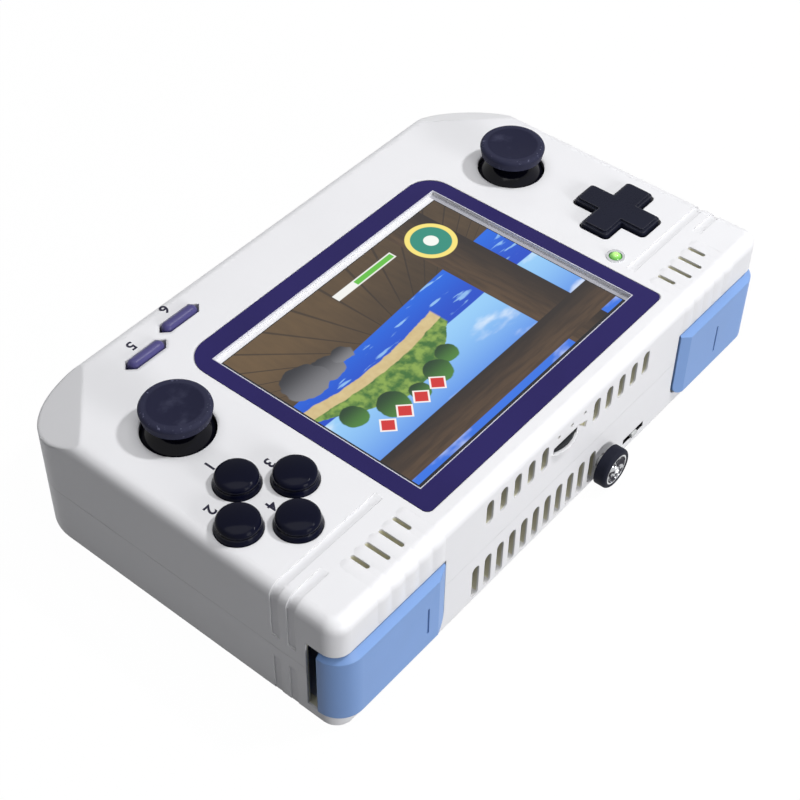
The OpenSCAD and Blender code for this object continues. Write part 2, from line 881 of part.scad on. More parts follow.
// Slots under the blower's intake, cut to the outline of its round mouth
module intake_slots() {
    r = blower_side / 2 - blower_mouth;
    rows = floor(r / low_vent_pitch);
    for (i = [-rows:rows]) {
        y = i * low_vent_pitch;
        len = 2 * sqrt(r * r - y * y);
        translate([blower_x, blower_y + y, -cut]) linear_extrude(wall + 2 * cut) obround_plan(len, vent_w);
    }
}

module rear_bores() {
    both_sides() for (p = case_spots) translate([p[0], p[1], 0]) {
        translate([0, 0, -cut]) cylinder(d = case_head_d + 4 * seat_gap, h = case_seat_z + cut);
        cylinder(d = case_screw_d + 2 * seat_gap, h = split_z + lip_h + cut);
    }
    for (p = main_spots) translate([p[0], p[1], main_z + board_t - small_screw_len - cut])
        cylinder(d = small_screw_d + 2 * press_gap, h = small_screw_len + cut);
}

// Openings for the knob shaft, the slide switch and the charge socket
module edge_cuts() {
    translate([knob_x, top_in - cut, knob_z]) rotate([-90, 0, 0])
        cylinder(d = knob_shaft_d + 2 * move_gap, h = wall + 2 * cut);
    on_upper_wall(top_in - cut, y_top + cut) translate([switch_x, switch_z])
        square([nub_w + switch_travel + 2 * move_gap, nub_h + 2 * move_gap], center = true);
    translate([-socket_w / 2 - move_gap, y_low - cut, main_z - socket_h - move_gap])
        cube([socket_w + 2 * move_gap, wall + 2 * cut, split_z + lip_h + cut - main_z + socket_h]);
}

// Screen

module bezel_plan(slack) {
    plate_plan(bezel_w / 2 + slack, -bezel_h / 2 - slack, bezel_h / 2 + slack, bezel_low_r, bezel_top_r);
}

module screen_bezel() {
    color(purple_c) translate([0, 0, front_z - bezel_t]) linear_extrude(bezel_t) difference() {
        bezel_plan(0);
        square([window_w, window_h], center = true);
    }
}

module screen_panel() {
    color(screen_c) translate([0, 0, panel_z]) linear_extrude(panel_t)
        square([panel_w, panel_h], center = true);
}

module screen_driver_board() {
    color(board_c) translate([0, 0, panel_z - driver_t]) linear_extrude(driver_t)
        square([panel_w - driver_less[0], panel_h - driver_less[1]], center = true);
}

// Boards, cooling and power

module main_board() {
    color(board_c) translate([0, 0, main_z]) linear_extrude(board_t) difference() {
        union() {
            translate([-main_half, main_low_y]) square([2 * main_half, main_high_y - main_low_y]);
            translate([-socket_w, low_in + cut]) square([2 * socket_w, main_low_y - low_in]);
        }
        for (p = main_spots) translate(p) circle(d = small_screw_d + 2 * seat_gap);
    }
}

module processor() {
    color(black_c) translate([blower_x, blower_y, chip_z + chip_t / 2])
        cube([chip_side, chip_side, chip_t], center = true);
}

module heat_sink() {
    fin_t = low_vent_pitch - vent_w - fin_air;
    fin_y = blower_y + blower_side / 2 + fin_slack;
    fin_end = top_in - fin_slack;
    fin_z = wall + fin_slack;
    base_y = blower_y - blower_side / 2;
    fins = floor((low_vent_x - low_vent_pitch / 2 - sink_x[0]) / low_vent_pitch);
    color(steel_c) {
        translate([sink_x[0], base_y, sink_z]) cube([sink_x[1] - sink_x[0], fin_end - base_y, sink_base_t]);
        for (i = [0:fins - 1])
            translate([low_vent_x - (i + 0.5) * low_vent_pitch - fin_t / 2, fin_y, fin_z])
                cube([fin_t, fin_end - fin_y, sink_z - fin_z]);
    }
}

module blower_housing() {
    bay_r = blower_side / 2 - blower_wall;
    bay_h = blower_t - 2 * blower_skin;
    color(black_c) translate([blower_x, blower_y, blower_z]) {
        difference() {
            linear_extrude(blower_t) rounded_plan(blower_side, blower_side, blower_corner);
            translate([0, 0, blower_skin]) cylinder(r = bay_r, h = bay_h);
            translate([-bay_r, 0, blower_skin]) cube([2 * bay_r, blower_side, bay_h]);
            translate([0, 0, -cut]) cylinder(r = blower_side / 2 - blower_mouth, h = blower_skin + 2 * cut);
        }
        translate([0, 0, blower_skin]) cylinder(d = rotor_pin_d, h = blower_t - 1.5 * blower_skin);
    }
}

module blower_rotor() {
    blade_r = blower_side / 2 - blower_wall - rotor_gap;
    h = blower_t - 2 * blower_skin - 2 * move_gap;
    color(grey_c) translate([blower_x, blower_y, blower_z + blower_skin + move_gap]) difference() {
        union() {
            cylinder(r = hub_r, h = h);
            translate([0, 0, h - web_t]) cylinder(r = blade_r, h = web_t);
            for (i = [0:blower_blades - 1]) rotate(i * 360 / blower_blades)
                translate([hub_r - blade_root, -blade_t / 2, 0]) rotate(-blade_lean)
                cube([blade_r - hub_r - blade_root, blade_t, h - web_t / 2]);
        }
        translate([0, 0, -cut]) cylinder(d = rotor_pin_d + 2 * run_gap, h = h + 2 * cut);
    }
}

module battery() {
    len = board_high_y - board_low_y - battery_short;
    color(grey_c) translate([(board_x + board_out_x) / 2, board_low_y + len / 2, wall])
        linear_extrude(battery_t) rounded_plan(board_out_x - board_x - battery_slack, len, battery_corner);
}

module left_battery() {
    mirror([1, 0, 0]) battery();
}

module right_battery() {
    battery();
}

module charge_socket() {
    y1 = y_low + socket_len + socket_inset;
    color(steel_c) translate([0, y1, main_z - socket_h / 2]) rotate([90, 0, 0]) {
        difference() {
            linear_extrude(socket_len) obround_plan(socket_w, socket_h);
            translate([0, 0, socket_back]) linear_extrude(socket_len)
                obround_plan(socket_w - 2 * socket_skin, socket_h - 2 * socket_skin);
        }
        linear_extrude(socket_len - socket_back) square(socket_tongue, center = true);
    }
}

module speaker() {
    inner = [speaker_w - 2 * speaker_rim, speaker_h - 2 * speaker_rim];
    color(black_c) translate([speaker_x, speaker_y, front_in - speaker_t]) difference() {
        linear_extrude(speaker_t) rounded_plan(speaker_w, speaker_h, speaker_corner);
        translate([0, 0, speaker_t - speaker_sink]) linear_extrude(cut)
            rounded_plan(inner[0], inner[1], speaker_corner / 2);
    }
}

module left_speaker() {
    mirror([1, 0, 0]) speaker();
}

module right_speaker() {
    speaker();
}

// Button boards

module board_plan() {
    difference() {
        translate([board_x, board_low_y]) square([board_out_x - board_x, board_high_y - board_low_y]);
        for (p = boss_spots) translate(p) circle(d = small_screw_d + 2 * seat_gap);
    }
}

module left_button_board() {
    color(board_c) {
        mirror([1, 0, 0]) translate([0, 0, board_z]) linear_extrude(board_t) board_plan();
        translate([pad_x, pad_y, 0]) pad_post();
    }
}

// Pillar under the pivot ball
module pad_post() {
    z0 = board_z + board_t / 2;
    top = pad_pivot_z - pad_ball_r / 2;
    difference() {
        translate([0, 0, z0]) cylinder(r = pad_post_r, h = top - z0);
        translate([0, 0, pad_pivot_z]) sphere(r = pad_ball_r + run_gap);
    }
}

module right_button_board() {
    start = menu_spots[0];
    select = menu_spots[1];
    color(board_c) translate([0, 0, board_z]) linear_extrude(board_t) {
        board_plan();
        translate([select[0] - menu_pad, low_in + cut])
            square([start[0] - select[0] + 2 * menu_pad, start[1] - low_in + menu_pad_over]);
        translate([board_x, start[1]]) square([menu_pad, board_low_y - start[1] + cut]);
    }
}

// Sticks

module at_stick(side) {
    mirror([side, 0, 0]) translate([stick_x, stick_y, pivot_z]) children();
}

// Round cup on the board that carries the gimbal on two trunnions
module stick_housing() {
    floor_z = board_top - pivot_z;
    color(grey_c) difference() {
        translate([0, 0, floor_z]) cylinder(r = cup_r, h = cup_rise - floor_z);
        translate([0, 0, floor_z + cup_floor]) cylinder(r = cup_bore_r, h = cup_rise - floor_z);
        rotate([0, 90, 0]) cylinder(r = trunnion_r + run_gap, h = 2 * cup_r + cut, center = true);
    }
}

module stick_gimbal() {
    color(silicone_c) {
        difference() {
            cylinder(r = gimbal_r, h = gimbal_h, center = true);
            cylinder(r = gimbal_bore_r, h = gimbal_h + cut, center = true);
            rotate([90, 0, 0]) cylinder(r = cross_pin_r + run_gap, h = 2 * gimbal_r + cut, center = true);
        }
        for (turn = [0, 180]) rotate([0, 0, turn]) translate([gimbal_r - trunnion_root, 0, 0])
            rotate([0, 90, 0]) cylinder(r = trunnion_r, h = trunnion_len);
    }
}

// Post with its cross pin below and the glossy dome above the pivot
module stick_post() {
    rim_angle = asin(stick_hole_d / 2 / (dome_r + move_gap));
    dome_low = dome_r * cos(rim_angle + two_way * stick_tilt + 1);
    top = pivot_depth + cap_rise - post_cover;
    color(black_c) {
        rotate_extrude() {
            translate([0, -post_tail]) square([post_core_r, top + post_tail]);
            intersection() {
                difference() {
                    circle(dome_r);
                    circle(dome_r - dome_skin);
                }
                translate([0, dome_low]) square([dome_r, dome_r]);
            }
        }
        rotate([90, 0, 0]) cylinder(r = cross_pin_r, h = cross_pin_len, center = true);
    }
}

// Thick cap on a neck that clears the hole at full tilt, with a rounded rim and a shallow dish on top
module stick_cap() {
    r = cap_d / 2;
    tilt = two_way * stick_tilt;
    top = pivot_depth + cap_rise;
    under = top - cap_t;
    wide = top - cap_rim;
    neck_r = (stick_hole_d / 2 - move_gap - under * sin(tilt)) / cos(tilt);
    dish_half = r - cap_rim - cap_dish_edge;
    dish_r = (dish_half * dish_half + cap_dish * cap_dish) / (2 * cap_dish);
    color(rubber_c) rotate_extrude() difference() {
        union() {
            polygon([
                [0, pivot_depth], [neck_r, pivot_depth], [neck_r, under],
                [r - cap_draft, under], [r, wide], [0, wide]
            ]);
            translate([0, wide - cap_rim / 4]) square([r - cap_rim, cap_rim + cap_rim / 4]);
            intersection() {
                translate([r - cap_rim, wide]) circle(cap_rim);
                translate([0, wide]) square([r, cap_rim]);
            }
        }
        circle(dome_r + seat_gap);
        translate([0, pivot_depth]) square([post_core_r + press_gap, cap_rise - post_cover]);
        translate([0, top - cap_dish + dish_r]) circle(dish_r);
    }
}

module left_stick_housing() {
    at_stick(1) stick_housing();
}

module left_stick_gimbal() {
    at_stick(1) stick_gimbal();
}

module left_stick_post() {
    at_stick(1) stick_post();
}

module left_stick_cap() {
    at_stick(1) stick_cap();
}

module right_stick_housing() {
    at_stick(0) stick_housing();
}

module right_stick_gimbal() {
    at_stick(0) stick_gimbal();
}

module right_stick_post() {
    at_stick(0) stick_post();
}

module right_stick_cap() {
    at_stick(0) stick_cap();
}

// Direction pad

module direction_pad() {
    top = front_z + pad_rise;
    stud_low = board_top + dome_h + move_gap + pad_stud_at * sin(two_way * pad_tilt);
    color(black_c) translate([pad_x, pad_y, 0]) difference() {
        union() {
            translate([0, 0, pad_flange_z]) linear_extrude(top - pad_chamfer - pad_flange_z)
                cross_plan(pad_span, pad_arm, pad_edge_r);
            translate([0, 0, top - pad_chamfer]) linear_extrude(pad_chamfer)
                cross_plan(pad_span - 2 * pad_chamfer, pad_arm - 2 * pad_chamfer, pad_edge_r);
            translate([0, 0, pad_flange_z]) cylinder(r = pad_flange_r, h = pad_flange_t);
            for (i = [0:3]) rotate(90 * i) translate([pad_stud_at, 0, stud_low])
                cylinder(r = pad_stud_r, h = pad_flange_z - stud_low + pad_flange_t / 2);
        }
        translate([0, 0, pad_pivot_z]) sphere(r = pad_ball_r + run_gap);
        translate([0, 0, pad_flange_z - cut]) cylinder(r = pad_mouth_r, h = pad_pivot_z - pad_flange_z + cut);
    }
}

module pad_pivot_ball() {
    color(steel_c) translate([pad_x, pad_y, pad_pivot_z]) sphere(r = pad_ball_r);
}

// Soft sheet with one hollow contact dome at each spot
module membrane(spots) {
    difference() {
        union() {
            children();
            for (p = spots) translate([p[0], p[1], board_top])
                cylinder(r1 = contact_r[0], r2 = contact_r[1], h = dome_h);
        }
        for (p = spots) translate([p[0], p[1], board_top - cut])
            cylinder(r = contact_bore_r, h = dome_h - contact_skin + cut);
    }
}

module pad_membrane() {
    spots = [for (i = [0:3]) [pad_x + pad_stud_at * cos(90 * i), pad_y + pad_stud_at * sin(90 * i)]];
    color(silicone_c) membrane(spots)
        translate([pad_x, pad_y, board_top]) linear_extrude(membrane_t) difference() {
            circle(pad_flange_r);
            circle(pad_post_r + seat_gap);
        }
}

// Face buttons

// Round cap on a flared skirt, with a flange under the shell and a stud above its contact dome
module face_button(spot) {
    flange_z = front_in - seat_gap - face_flange_t;
    low = board_top + dome_h + move_gap + button_travel;
    r = button_d / 2;
    top_r = button_top_d / 2;
    top = front_z + button_rise;
    skirt_z = front_z + face_skirt[0];
    step_z = front_z + face_skirt[1];
    edge_x = top_r - face_edge_r;
    crown = face_crown_r - face_edge_r;
    edge_z = top - face_crown_r + sqrt(crown * crown - edge_x * edge_x);
    color(black_c) translate([spot[0], spot[1], 0]) rotate_extrude() intersection() {
        union() {
            translate([0, low]) square([face_stud_r, flange_z - low + face_step]);
            translate([0, flange_z]) square([face_flange_r, face_flange_t]);
            polygon([
                [0, flange_z], [r, flange_z], [r, skirt_z], [r - face_taper, step_z],
                [top_r - face_step, step_z], [top_r - face_step, step_z + face_step],
                [top_r, step_z + 2 * face_step], [top_r, edge_z], [0, edge_z]
            ]);
            translate([0, step_z]) square([edge_x * face_crown_r / crown, top - step_z]);
            translate([edge_x, edge_z]) circle(face_edge_r);
        }
        translate([0, top - face_crown_r]) circle(face_crown_r);
        translate([0, low]) square([2 * button_d, top - low]);
    }
}

module face_button_1() {
    face_button(face_spots[3]);
}

module face_button_2() {
    face_button(face_spots[0]);
}

module face_button_3() {
    face_button(face_spots[2]);
}

module face_button_4() {
    face_button(face_spots[1]);
}

module face_membrane() {
    color(silicone_c) membrane(face_spots) translate([face_x, face_y, board_top]) linear_extrude(membrane_t)
        circle(face_sheet_r);
}

// Menu buttons

// Lying round bar on a stem, with a flange under the shell and a stud above its contact dome
module menu_button(spot) {
    flange_z = front_in - seat_gap - menu_flange_t;
    low = board_top + dome_h + move_gap + menu_travel;
    axis = front_z + menu_rise - menu_w / 2;
    color(lilac_c) translate([spot[0], spot[1], 0]) {
        translate([0, 0, flange_z]) {
            linear_extrude(menu_flange_t) slanted_plan(menu_len + menu_flange[0], menu_w + menu_flange[1]);
            linear_extrude(axis - flange_z) obround_plan(menu_len - 2 * seat_gap, menu_w - 2 * seat_gap);
        }
        translate([0, 0, axis]) rotate([0, 90, 0]) rotate_extrude() intersection() {
            rotate(90) obround_plan(menu_len, menu_w);
            translate([0, -menu_len / 2]) square([menu_w, menu_len]);
        }
        translate([0, 0, low]) cylinder(r = menu_stud_r, h = flange_z - low + menu_flange_t / 2);
    }
}

module start_button() {
    menu_button(menu_spots[0]);
}

module select_button() {
    menu_button(menu_spots[1]);
}

module menu_membrane() {
    start = menu_spots[0];
    select = menu_spots[1];
    color(silicone_c) membrane(menu_spots) translate([0, 0, board_top]) linear_extrude(membrane_t) {
        for (p = menu_spots) translate(p) circle(menu_lane_r);
        translate(select) square([start[0] - select[0], menu_lane_r / 2]);
    }
}

// Power light

module power_light() {
    r = led_d / 2;
    top = front_z + led_rise;
    root = front_in - led_root;
    color(green_c) translate([led_x, led_y, 0]) {
        rotate_extrude() {
            translate([0, root]) square([r, top - r - root]);
            translate([0, root]) square([r + led_flange, led_flange_t]);
            intersection() {
                translate([0, top - r]) circle(r);
                translate([0, root]) square([r, top - root]);
            }
        }
        for (side = [-1, 1]) translate([(side * led_leg_pitch - led_leg) / 2, -led_leg / 2, board_top])
            cube([led_leg, led_leg, root - board_top + led_flange_t / 2]);
    }
}

module power_light_ring() {
    r = led_ring_d / 2;
    low = front_in - led_root + led_flange_t + move_gap / 2;
    color(steel_c) translate([led_x, led_y, 0]) rotate_extrude() difference() {
        union() {
            translate([0, low]) square([r, front_z - low]);
            translate([0, front_z]) square([r + led_lip, led_lip]);
        }
        translate([0, low - cut]) square([led_d / 2 + run_gap, front_z - low + 2 * cut]);
    }
}

// Triggers

module trigger_plan(inset) {
    r = trig_corner_r - inset;
    xo = trig_out_x - inset;
    yo = trig_face_y - inset;
    translate([trig_x, trig_end_y]) square([xo - r - trig_x, yo - trig_end_y]);
    translate([xo - r, trig_end_y]) square([r, yo - r - trig_end_y]);
    intersection() {
        translate([xo - r, yo - r]) circle(r);
        translate([xo - r, yo - r]) square([r, r]);
    }
}

// Waste over the chamfer, measured out from a face and down from the upper edge
module chamfer_section(at) {
    slope = trig_chamfer / trig_proud;
    polygon([
        [at - trig_proud, 0], [at + cut, -trig_chamfer - slope * cut], [at + cut, cut], [at - trig_proud, cut]
    ]);
}

module trigger_chamfer() {
    xc = trig_out_x - trig_corner_r;
    yc = trig_face_y - trig_corner_r;
    translate([xc, yc, trig_top_z]) rotate_extrude(angle = 90) chamfer_section(trig_corner_r);
    translate([trig_x - cut, 0, trig_top_z]) rotate([90, 0, 90])
        linear_extrude(xc - trig_x + cut) chamfer_section(trig_face_y);
    translate([0, yc, trig_top_z]) rotate([90, 0, 0])
        linear_extrude(yc - trig_end_y + cut) chamfer_section(trig_out_x);
}

// Waste in front of the face where it slopes back to the wall at the inner end
module trigger_end_slope() {
    slope = (trig_proud - trig_end_proud) / trig_end_run;
    far_y = trig_face_y + cut;
    translate([0, 0, trig_z - cut]) linear_extrude(trig_h + 2 * cut) polygon([
        [trig_x - cut, y_top + trig_end_proud - slope * cut], [trig_x + trig_end_run, trig_face_y],
        [trig_x + trig_end_run, far_y], [trig_x - cut, far_y]
    ]);
}

// Hollow cap with a solid hinge block at its inner end, a rib for the switch and one sunk mark
module trigger(mark_x) {
    color(blue_c) difference() {
        union() {
            difference() {
                translate([0, 0, trig_z]) linear_extrude(trig_h) trigger_plan(0);
                translate([0, 0, trig_z + trig_web]) linear_extrude(trig_h - 2 * trig_web) difference() {
                    union() {
                        trigger_plan(trig_wall);
                        translate([trig_x, trig_end_y - cut])
                            square([trig_out_x - trig_wall - trig_x, cut + trig_gap / 2]);
                    }
                    translate([trig_x - cut, trig_end_y - 2 * cut])
                        square([trig_block + cut, trig_proud + trig_side_len + 3 * cut]);
                }
            }
            translate([trig_rib_x - trig_rib_t / 2, trig_rib_y, trig_z + trig_web / 2])
                cube([trig_rib_t, trig_face_y - trig_wall / 2 - trig_rib_y, trig_h - 1.5 * trig_web]);
        }
        trigger_chamfer();
        trigger_end_slope();
        translate([mark_x, trig_face_y, trig_mark_z])
            cube([trig_mark[0], 2 * trig_mark[1], trig_mark[2]], center = true);
        translate([0, trig_face_y + cut, 0]) rotate([90, 0, 0])
            linear_extrude(trig_face_y - trig_end_y + 2 * cut)
            translate([trig_x + trig_low_r, trig_z + trig_low_r]) rotate(180) corner_nick(trig_low_r);
        translate([trig_pin_x, trig_pin_y, trig_z - cut])
            cylinder(d = trig_pin_d + 2 * run_gap, h = trig_h + 2 * cut);
    }
}

module left_trigger() {
    mirror([1, 0, 0]) trigger(left_mark_x);
}

module right_trigger() {
    trigger(right_mark_x);
}

module trigger_pins() {
    z0 = wall - pin_sink;
    color(steel_c) both_sides() translate([trig_pin_x, trig_pin_y, z0])
        cylinder(d = trig_pin_d, h = pin_top_z - z0);
}

// Tact switch on the board, facing the trigger's rib
module trigger_switch() {
    tip_y = trig_rib_y - (trig_rib_x - trig_pin_x) * sin(trig_turn) - 2 * seat_gap;
    body_y = board_high_y - trig_gap - tact_body[1];
    tip_root = body_y + tact_body[1] / 2;
    color(black_c) {
        translate([trig_rib_x - tact_body[0] / 2, body_y, board_top]) cube(tact_body);
        translate([trig_rib_x, tip_root, board_top + tact_body[2] / 2]) rotate([-90, 0, 0])
            cylinder(r = tact_tip_r, h = tip_y - tip_root);
    }
}

module left_trigger_switch() {
    mirror([1, 0, 0]) trigger_switch();
}

module right_trigger_switch() {
    trigger_switch();
}

// Edge controls

module volume_wheel() {
    color(black_c) translate([wheel_x, wheel_y, wheel_z - wheel_t / 2]) difference() {
        cylinder(r = wheel_r, h = wheel_t);
        translate([0, 0, -cut]) cylinder(r = wheel_pin_r + run_gap, h = wheel_t + 2 * cut);
    }
}

module volume_wheel_pot() {
    z = wheel_z - wheel_t / 2 - move_gap - wheel_pot_t;
    half = wheel_pot_w / 2;
    color(grey_c) translate([wheel_x, wheel_y, z]) {
        translate([-half, -half, 0]) cube([wheel_pot_w, wheel_pot_w, wheel_pot_t]);
        cylinder(r = wheel_pin_r, h = wheel_pot_t + wheel_t + move_gap);
    }
}

module on_knob(y) {
    translate([knob_x, y, knob_z]) rotate([-90, 0, 0]) children();
}

module knob_rim() {
    r = knob_d / 2;
    color(rubber_c) on_knob(knob_y) rotate_extrude() difference() {
        translate([r - knob_rim_t, 0]) square([knob_rim_t, knob_len]);
        translate([r - knob_edge_r, knob_len - knob_edge_r]) corner_nick(knob_edge_r);
    }
}

// Bright insert with a round bowl between its ring and its hub
module knob_face() {
    r = knob_d / 2 - knob_rim_t - press_gap;
    top = knob_len - knob_sink;
    color(steel_c) on_knob(knob_y) rotate_extrude() difference() {
        square([r, top]);
        translate([0, -cut]) square([knob_shaft_d / 2 + press_gap, knob_len - knob_skin + cut]);
        translate([r - knob_ring_w - knob_bowl_r, top + knob_bowl_up]) circle(knob_bowl_r);
    }
}

module knob_shaft() {
    y0 = top_in - knob_shaft_in;
    color(steel_c) on_knob(y0) cylinder(d = knob_shaft_d, h = knob_y - y0 + knob_len - knob_skin);
}

module knob_pot() {
    color(grey_c) difference() {
        translate([knob_x - knob_pot_w / 2, top_in - knob_pot_len - seat_gap, knob_z - knob_pot_w / 2])
            cube([knob_pot_w, knob_pot_len, knob_pot_w]);
        on_knob(top_in - knob_shaft_in - seat_gap)
            cylinder(d = knob_shaft_d + 2 * run_gap, h = knob_shaft_in + cut);
    }
}

module power_slider() {
    reach = wall + nub_proud + nub_root;
    color(silicone_c) translate([switch_x - nub_w / 2, y_top + nub_proud - reach, switch_z - nub_h / 2])
        cube([nub_w, reach, nub_h]);
}

module power_switch_body() {
    lane_w = nub_w + switch_travel + 2 * move_gap;
    y1 = top_in - seat_gap;
    color(steel_c) difference() {
        translate([switch_x - switch_w / 2, y1 - switch_len, wall]) cube([switch_w, switch_len, switch_h]);
        translate([switch_x - lane_w / 2, y1 - switch_lane, switch_z - nub_h / 2 - seat_gap])
            cube([lane_w, switch_lane + cut, nub_h + 2 * seat_gap]);
    }
}

// Fasteners

module case_screws() {
    color(steel_c) both_sides() for (p = case_spots) translate([p[0], p[1], case_seat_z]) {
        translate([0, 0, -case_head_t]) difference() {
            cylinder(d = case_head_d, h = case_head_t);
            for (turn = [0, 90]) rotate(turn) cube(case_drive, center = true);
        }
        cylinder(d = case_screw_d, h = case_screw_len);
    }
}

module board_screw() {
    translate([0, 0, -small_head_t]) cylinder(d = small_head_d, h = small_head_t);
    cylinder(d = small_screw_d, h = small_screw_len);
}

module board_screws() {
    color(steel_c) {
        both_sides() for (p = boss_spots) translate([p[0], p[1], board_z]) board_screw();
        for (p = main_spots) translate([p[0], p[1], main_z + board_t]) mirror([0, 0, 1]) board_screw();
    }
}

front_shell();
rear_shell();
screen_bezel();
screen_panel();
screen_driver_board();
main_board();
processor();
heat_sink();
blower_housing();
blower_rotor();
left_battery();
right_battery();
charge_socket();
left_speaker();
right_speaker();
left_button_board();
right_button_board();
left_stick_housing();
left_stick_gimbal();
left_stick_post();
left_stick_cap();
right_stick_housing();
right_stick_gimbal();
right_stick_post();
right_stick_cap();
direction_pad();
pad_pivot_ball();
pad_membrane();
face_button_1();
face_button_2();
face_button_3();
face_button_4();
face_membrane();
start_button();
select_button();
menu_membrane();
power_light();
power_light_ring();
left_trigger();
right_trigger();
trigger_pins();
left_trigger_switch();
right_trigger_switch();
volume_wheel();
volume_wheel_pot();
knob_rim();
knob_face();
knob_shaft();
knob_pot();
power_slider();
power_switch_body();
case_screws();
board_screws();
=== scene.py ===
"""Dressed scene of a handheld game console: finishes, printed marks, light and camera.

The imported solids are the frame. Each sub-assembly dresses its own nodes and adds its printed marks.
All lengths in the classes are millimetres, and X, Y and Z are the row frame's axes.
"""

from __future__ import annotations

import json
import logging
import math
from abc import ABC, abstractmethod
from dataclasses import dataclass, field
from enum import Enum
from typing import Any, Mapping, Sequence, Union

import bmesh
import bpy
from mathutils import Matrix, Vector

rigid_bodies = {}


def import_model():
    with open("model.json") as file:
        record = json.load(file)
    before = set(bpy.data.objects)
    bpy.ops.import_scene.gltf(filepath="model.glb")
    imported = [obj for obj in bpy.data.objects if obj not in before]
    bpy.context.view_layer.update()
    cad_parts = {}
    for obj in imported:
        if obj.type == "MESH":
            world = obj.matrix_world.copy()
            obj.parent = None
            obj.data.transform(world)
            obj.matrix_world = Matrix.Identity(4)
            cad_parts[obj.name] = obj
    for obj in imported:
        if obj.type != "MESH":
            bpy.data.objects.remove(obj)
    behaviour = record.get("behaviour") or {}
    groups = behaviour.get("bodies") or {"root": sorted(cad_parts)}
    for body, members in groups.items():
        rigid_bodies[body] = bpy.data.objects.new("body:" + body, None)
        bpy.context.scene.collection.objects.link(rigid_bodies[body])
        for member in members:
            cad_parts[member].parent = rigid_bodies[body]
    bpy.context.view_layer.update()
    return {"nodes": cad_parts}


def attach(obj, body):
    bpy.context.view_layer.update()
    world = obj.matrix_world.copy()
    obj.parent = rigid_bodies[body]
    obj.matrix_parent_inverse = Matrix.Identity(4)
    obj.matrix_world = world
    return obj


LOG = logging.getLogger("console")
MM = 0.001
# Height of the case's front face.
FRONT = 32.0
# Cosines between the rounded normal and the surface's own, at an edge and beside it.
EDGE_COSINES = (0.82, 0.985)
# Colour sockets of the mixing node.
MIX_FIRST, MIX_SECOND, MIX_RESULT = 6, 7, 2
Pair = tuple[float, float]
Triple = tuple[float, float, float]
Colour = Triple


def paint(red: int, green: int, blue: int) -> Colour:
    """Turn a colour as seen on a display into linear light.

    Args:
        red: Red from 0 to 255.
        green: Green from 0 to 255.
        blue: Blue from 0 to 255.

    Returns:
        The linear colour.
    """
    shares = (red / 255, green / 255, blue / 255)
    return tuple(s / 12.92 if s <= 0.04045 else ((s + 0.055) / 1.055) ** 2.4 for s in shares)


def add_object(name: str, data: bpy.types.ID) -> bpy.types.Object:
    """Put a new object into the scene.

    Args:
        name: Its name.
        data: Its mesh, type, lamp or camera.

    Returns:
        The object.
    """
    piece = bpy.data.objects.new(name, data)
    bpy.context.scene.collection.objects.link(piece)
    return piece


class Hand(Enum):
    """The side of the case that a control belongs to."""

    LEFT = "left"
    RIGHT = "right"


class Value:
    """One output of a shader tree. Operators on it add Math nodes."""

    def __init__(self, tree: Tree, socket: bpy.types.NodeSocket | None) -> None:
        """Keep the tree and the socket."""
        self.tree = tree
        self.socket = socket

    def math(self, operation: str, *terms: Number) -> Value:
        """Add one Math node.

        Args:
            operation: The node's operation.
            terms: Its inputs, in order.

        Returns:
            The node's result.
        """
        return self.tree.node("ShaderNodeMath", {"operation": operation}, dict(enumerate(terms)))

    def __add__(self, other: Number) -> Value:
        """Add a number or a value."""
        return self.math("ADD", self, other)

    __radd__ = __add__

    def __sub__(self, other: Number) -> Value:
        """Take away a number or a value."""
        return self.math("SUBTRACT", self, other)

    def __rsub__(self, other: Number) -> Value:
        """Take this value from a number."""
        return self.math("SUBTRACT", other, self)

    def __mul__(self, other: Number) -> Value:
        """Multiply by a number or a value."""
        return self.math("MULTIPLY", self, other)

    def __truediv__(self, other: Number) -> Value:
        """Divide by a number or a value."""
        return self.math("DIVIDE", self, other)

    def __pow__(self, power: Number) -> Value:
        """Raise to a power."""
        return self.math("POWER", self, power)

    def __abs__(self) -> Value:
        """Drop the sign."""
        return self.math("ABSOLUTE", self)

    def sine(self) -> Value:
        """Return the sine."""
        return self.math("SINE", self)

    def floor(self) -> Value:
        """Return the whole part below."""
        return self.math("FLOOR", self)

    def fraction(self) -> Value:
        """Return what is left above the whole part."""
        return self.math("FRACT", self)

    def root(self) -> Value:
        """Return the square root."""
        return self.math("SQRT", self)

    def most(self, other: Number) -> Value:
        """Return the larger of two."""
        return self.math("MAXIMUM", self, other)

    def rise(self, low: Number, high: Number) -> Value:
        """Climb smoothly from 0 at one value to 1 at another.

        Args:
            low: Where the climb starts.
            high: Where it ends.

        Returns:
            The climb, from 0 to 1.
        """
        return self.tree.node(
            "ShaderNodeMapRange",
            {"interpolation_type": "SMOOTHSTEP"},
            {0: self, 1: low, 2: high, 3: 0.0, 4: 1.0},
        )

    def above(self, edge: Number, soft: float = 0.01) -> Value:
        """Return 1 above an edge and 0 below it.

        Args:
            edge: The edge's value.
            soft: Width of the soft step.

        Returns:
            The mask.
        """
        return (self - edge).rise(-soft / 2, soft / 2)

    def band(self, low: float, high: float, soft: float = 0.01) -> Value:
        """Return 1 between two edges and 0 outside them.

        Args:
            low: The lower edge.
            high: The upper edge.
            soft: Width of the soft steps.

        Returns:
            The mask.
        """
        return self.above(low, soft) * (1 - self.above(high, soft))


Number = Union[Value, float, int]
Feed = Union[Value, float, int, Sequence[float]]
Sockets = dict[Union[int, str], Feed]


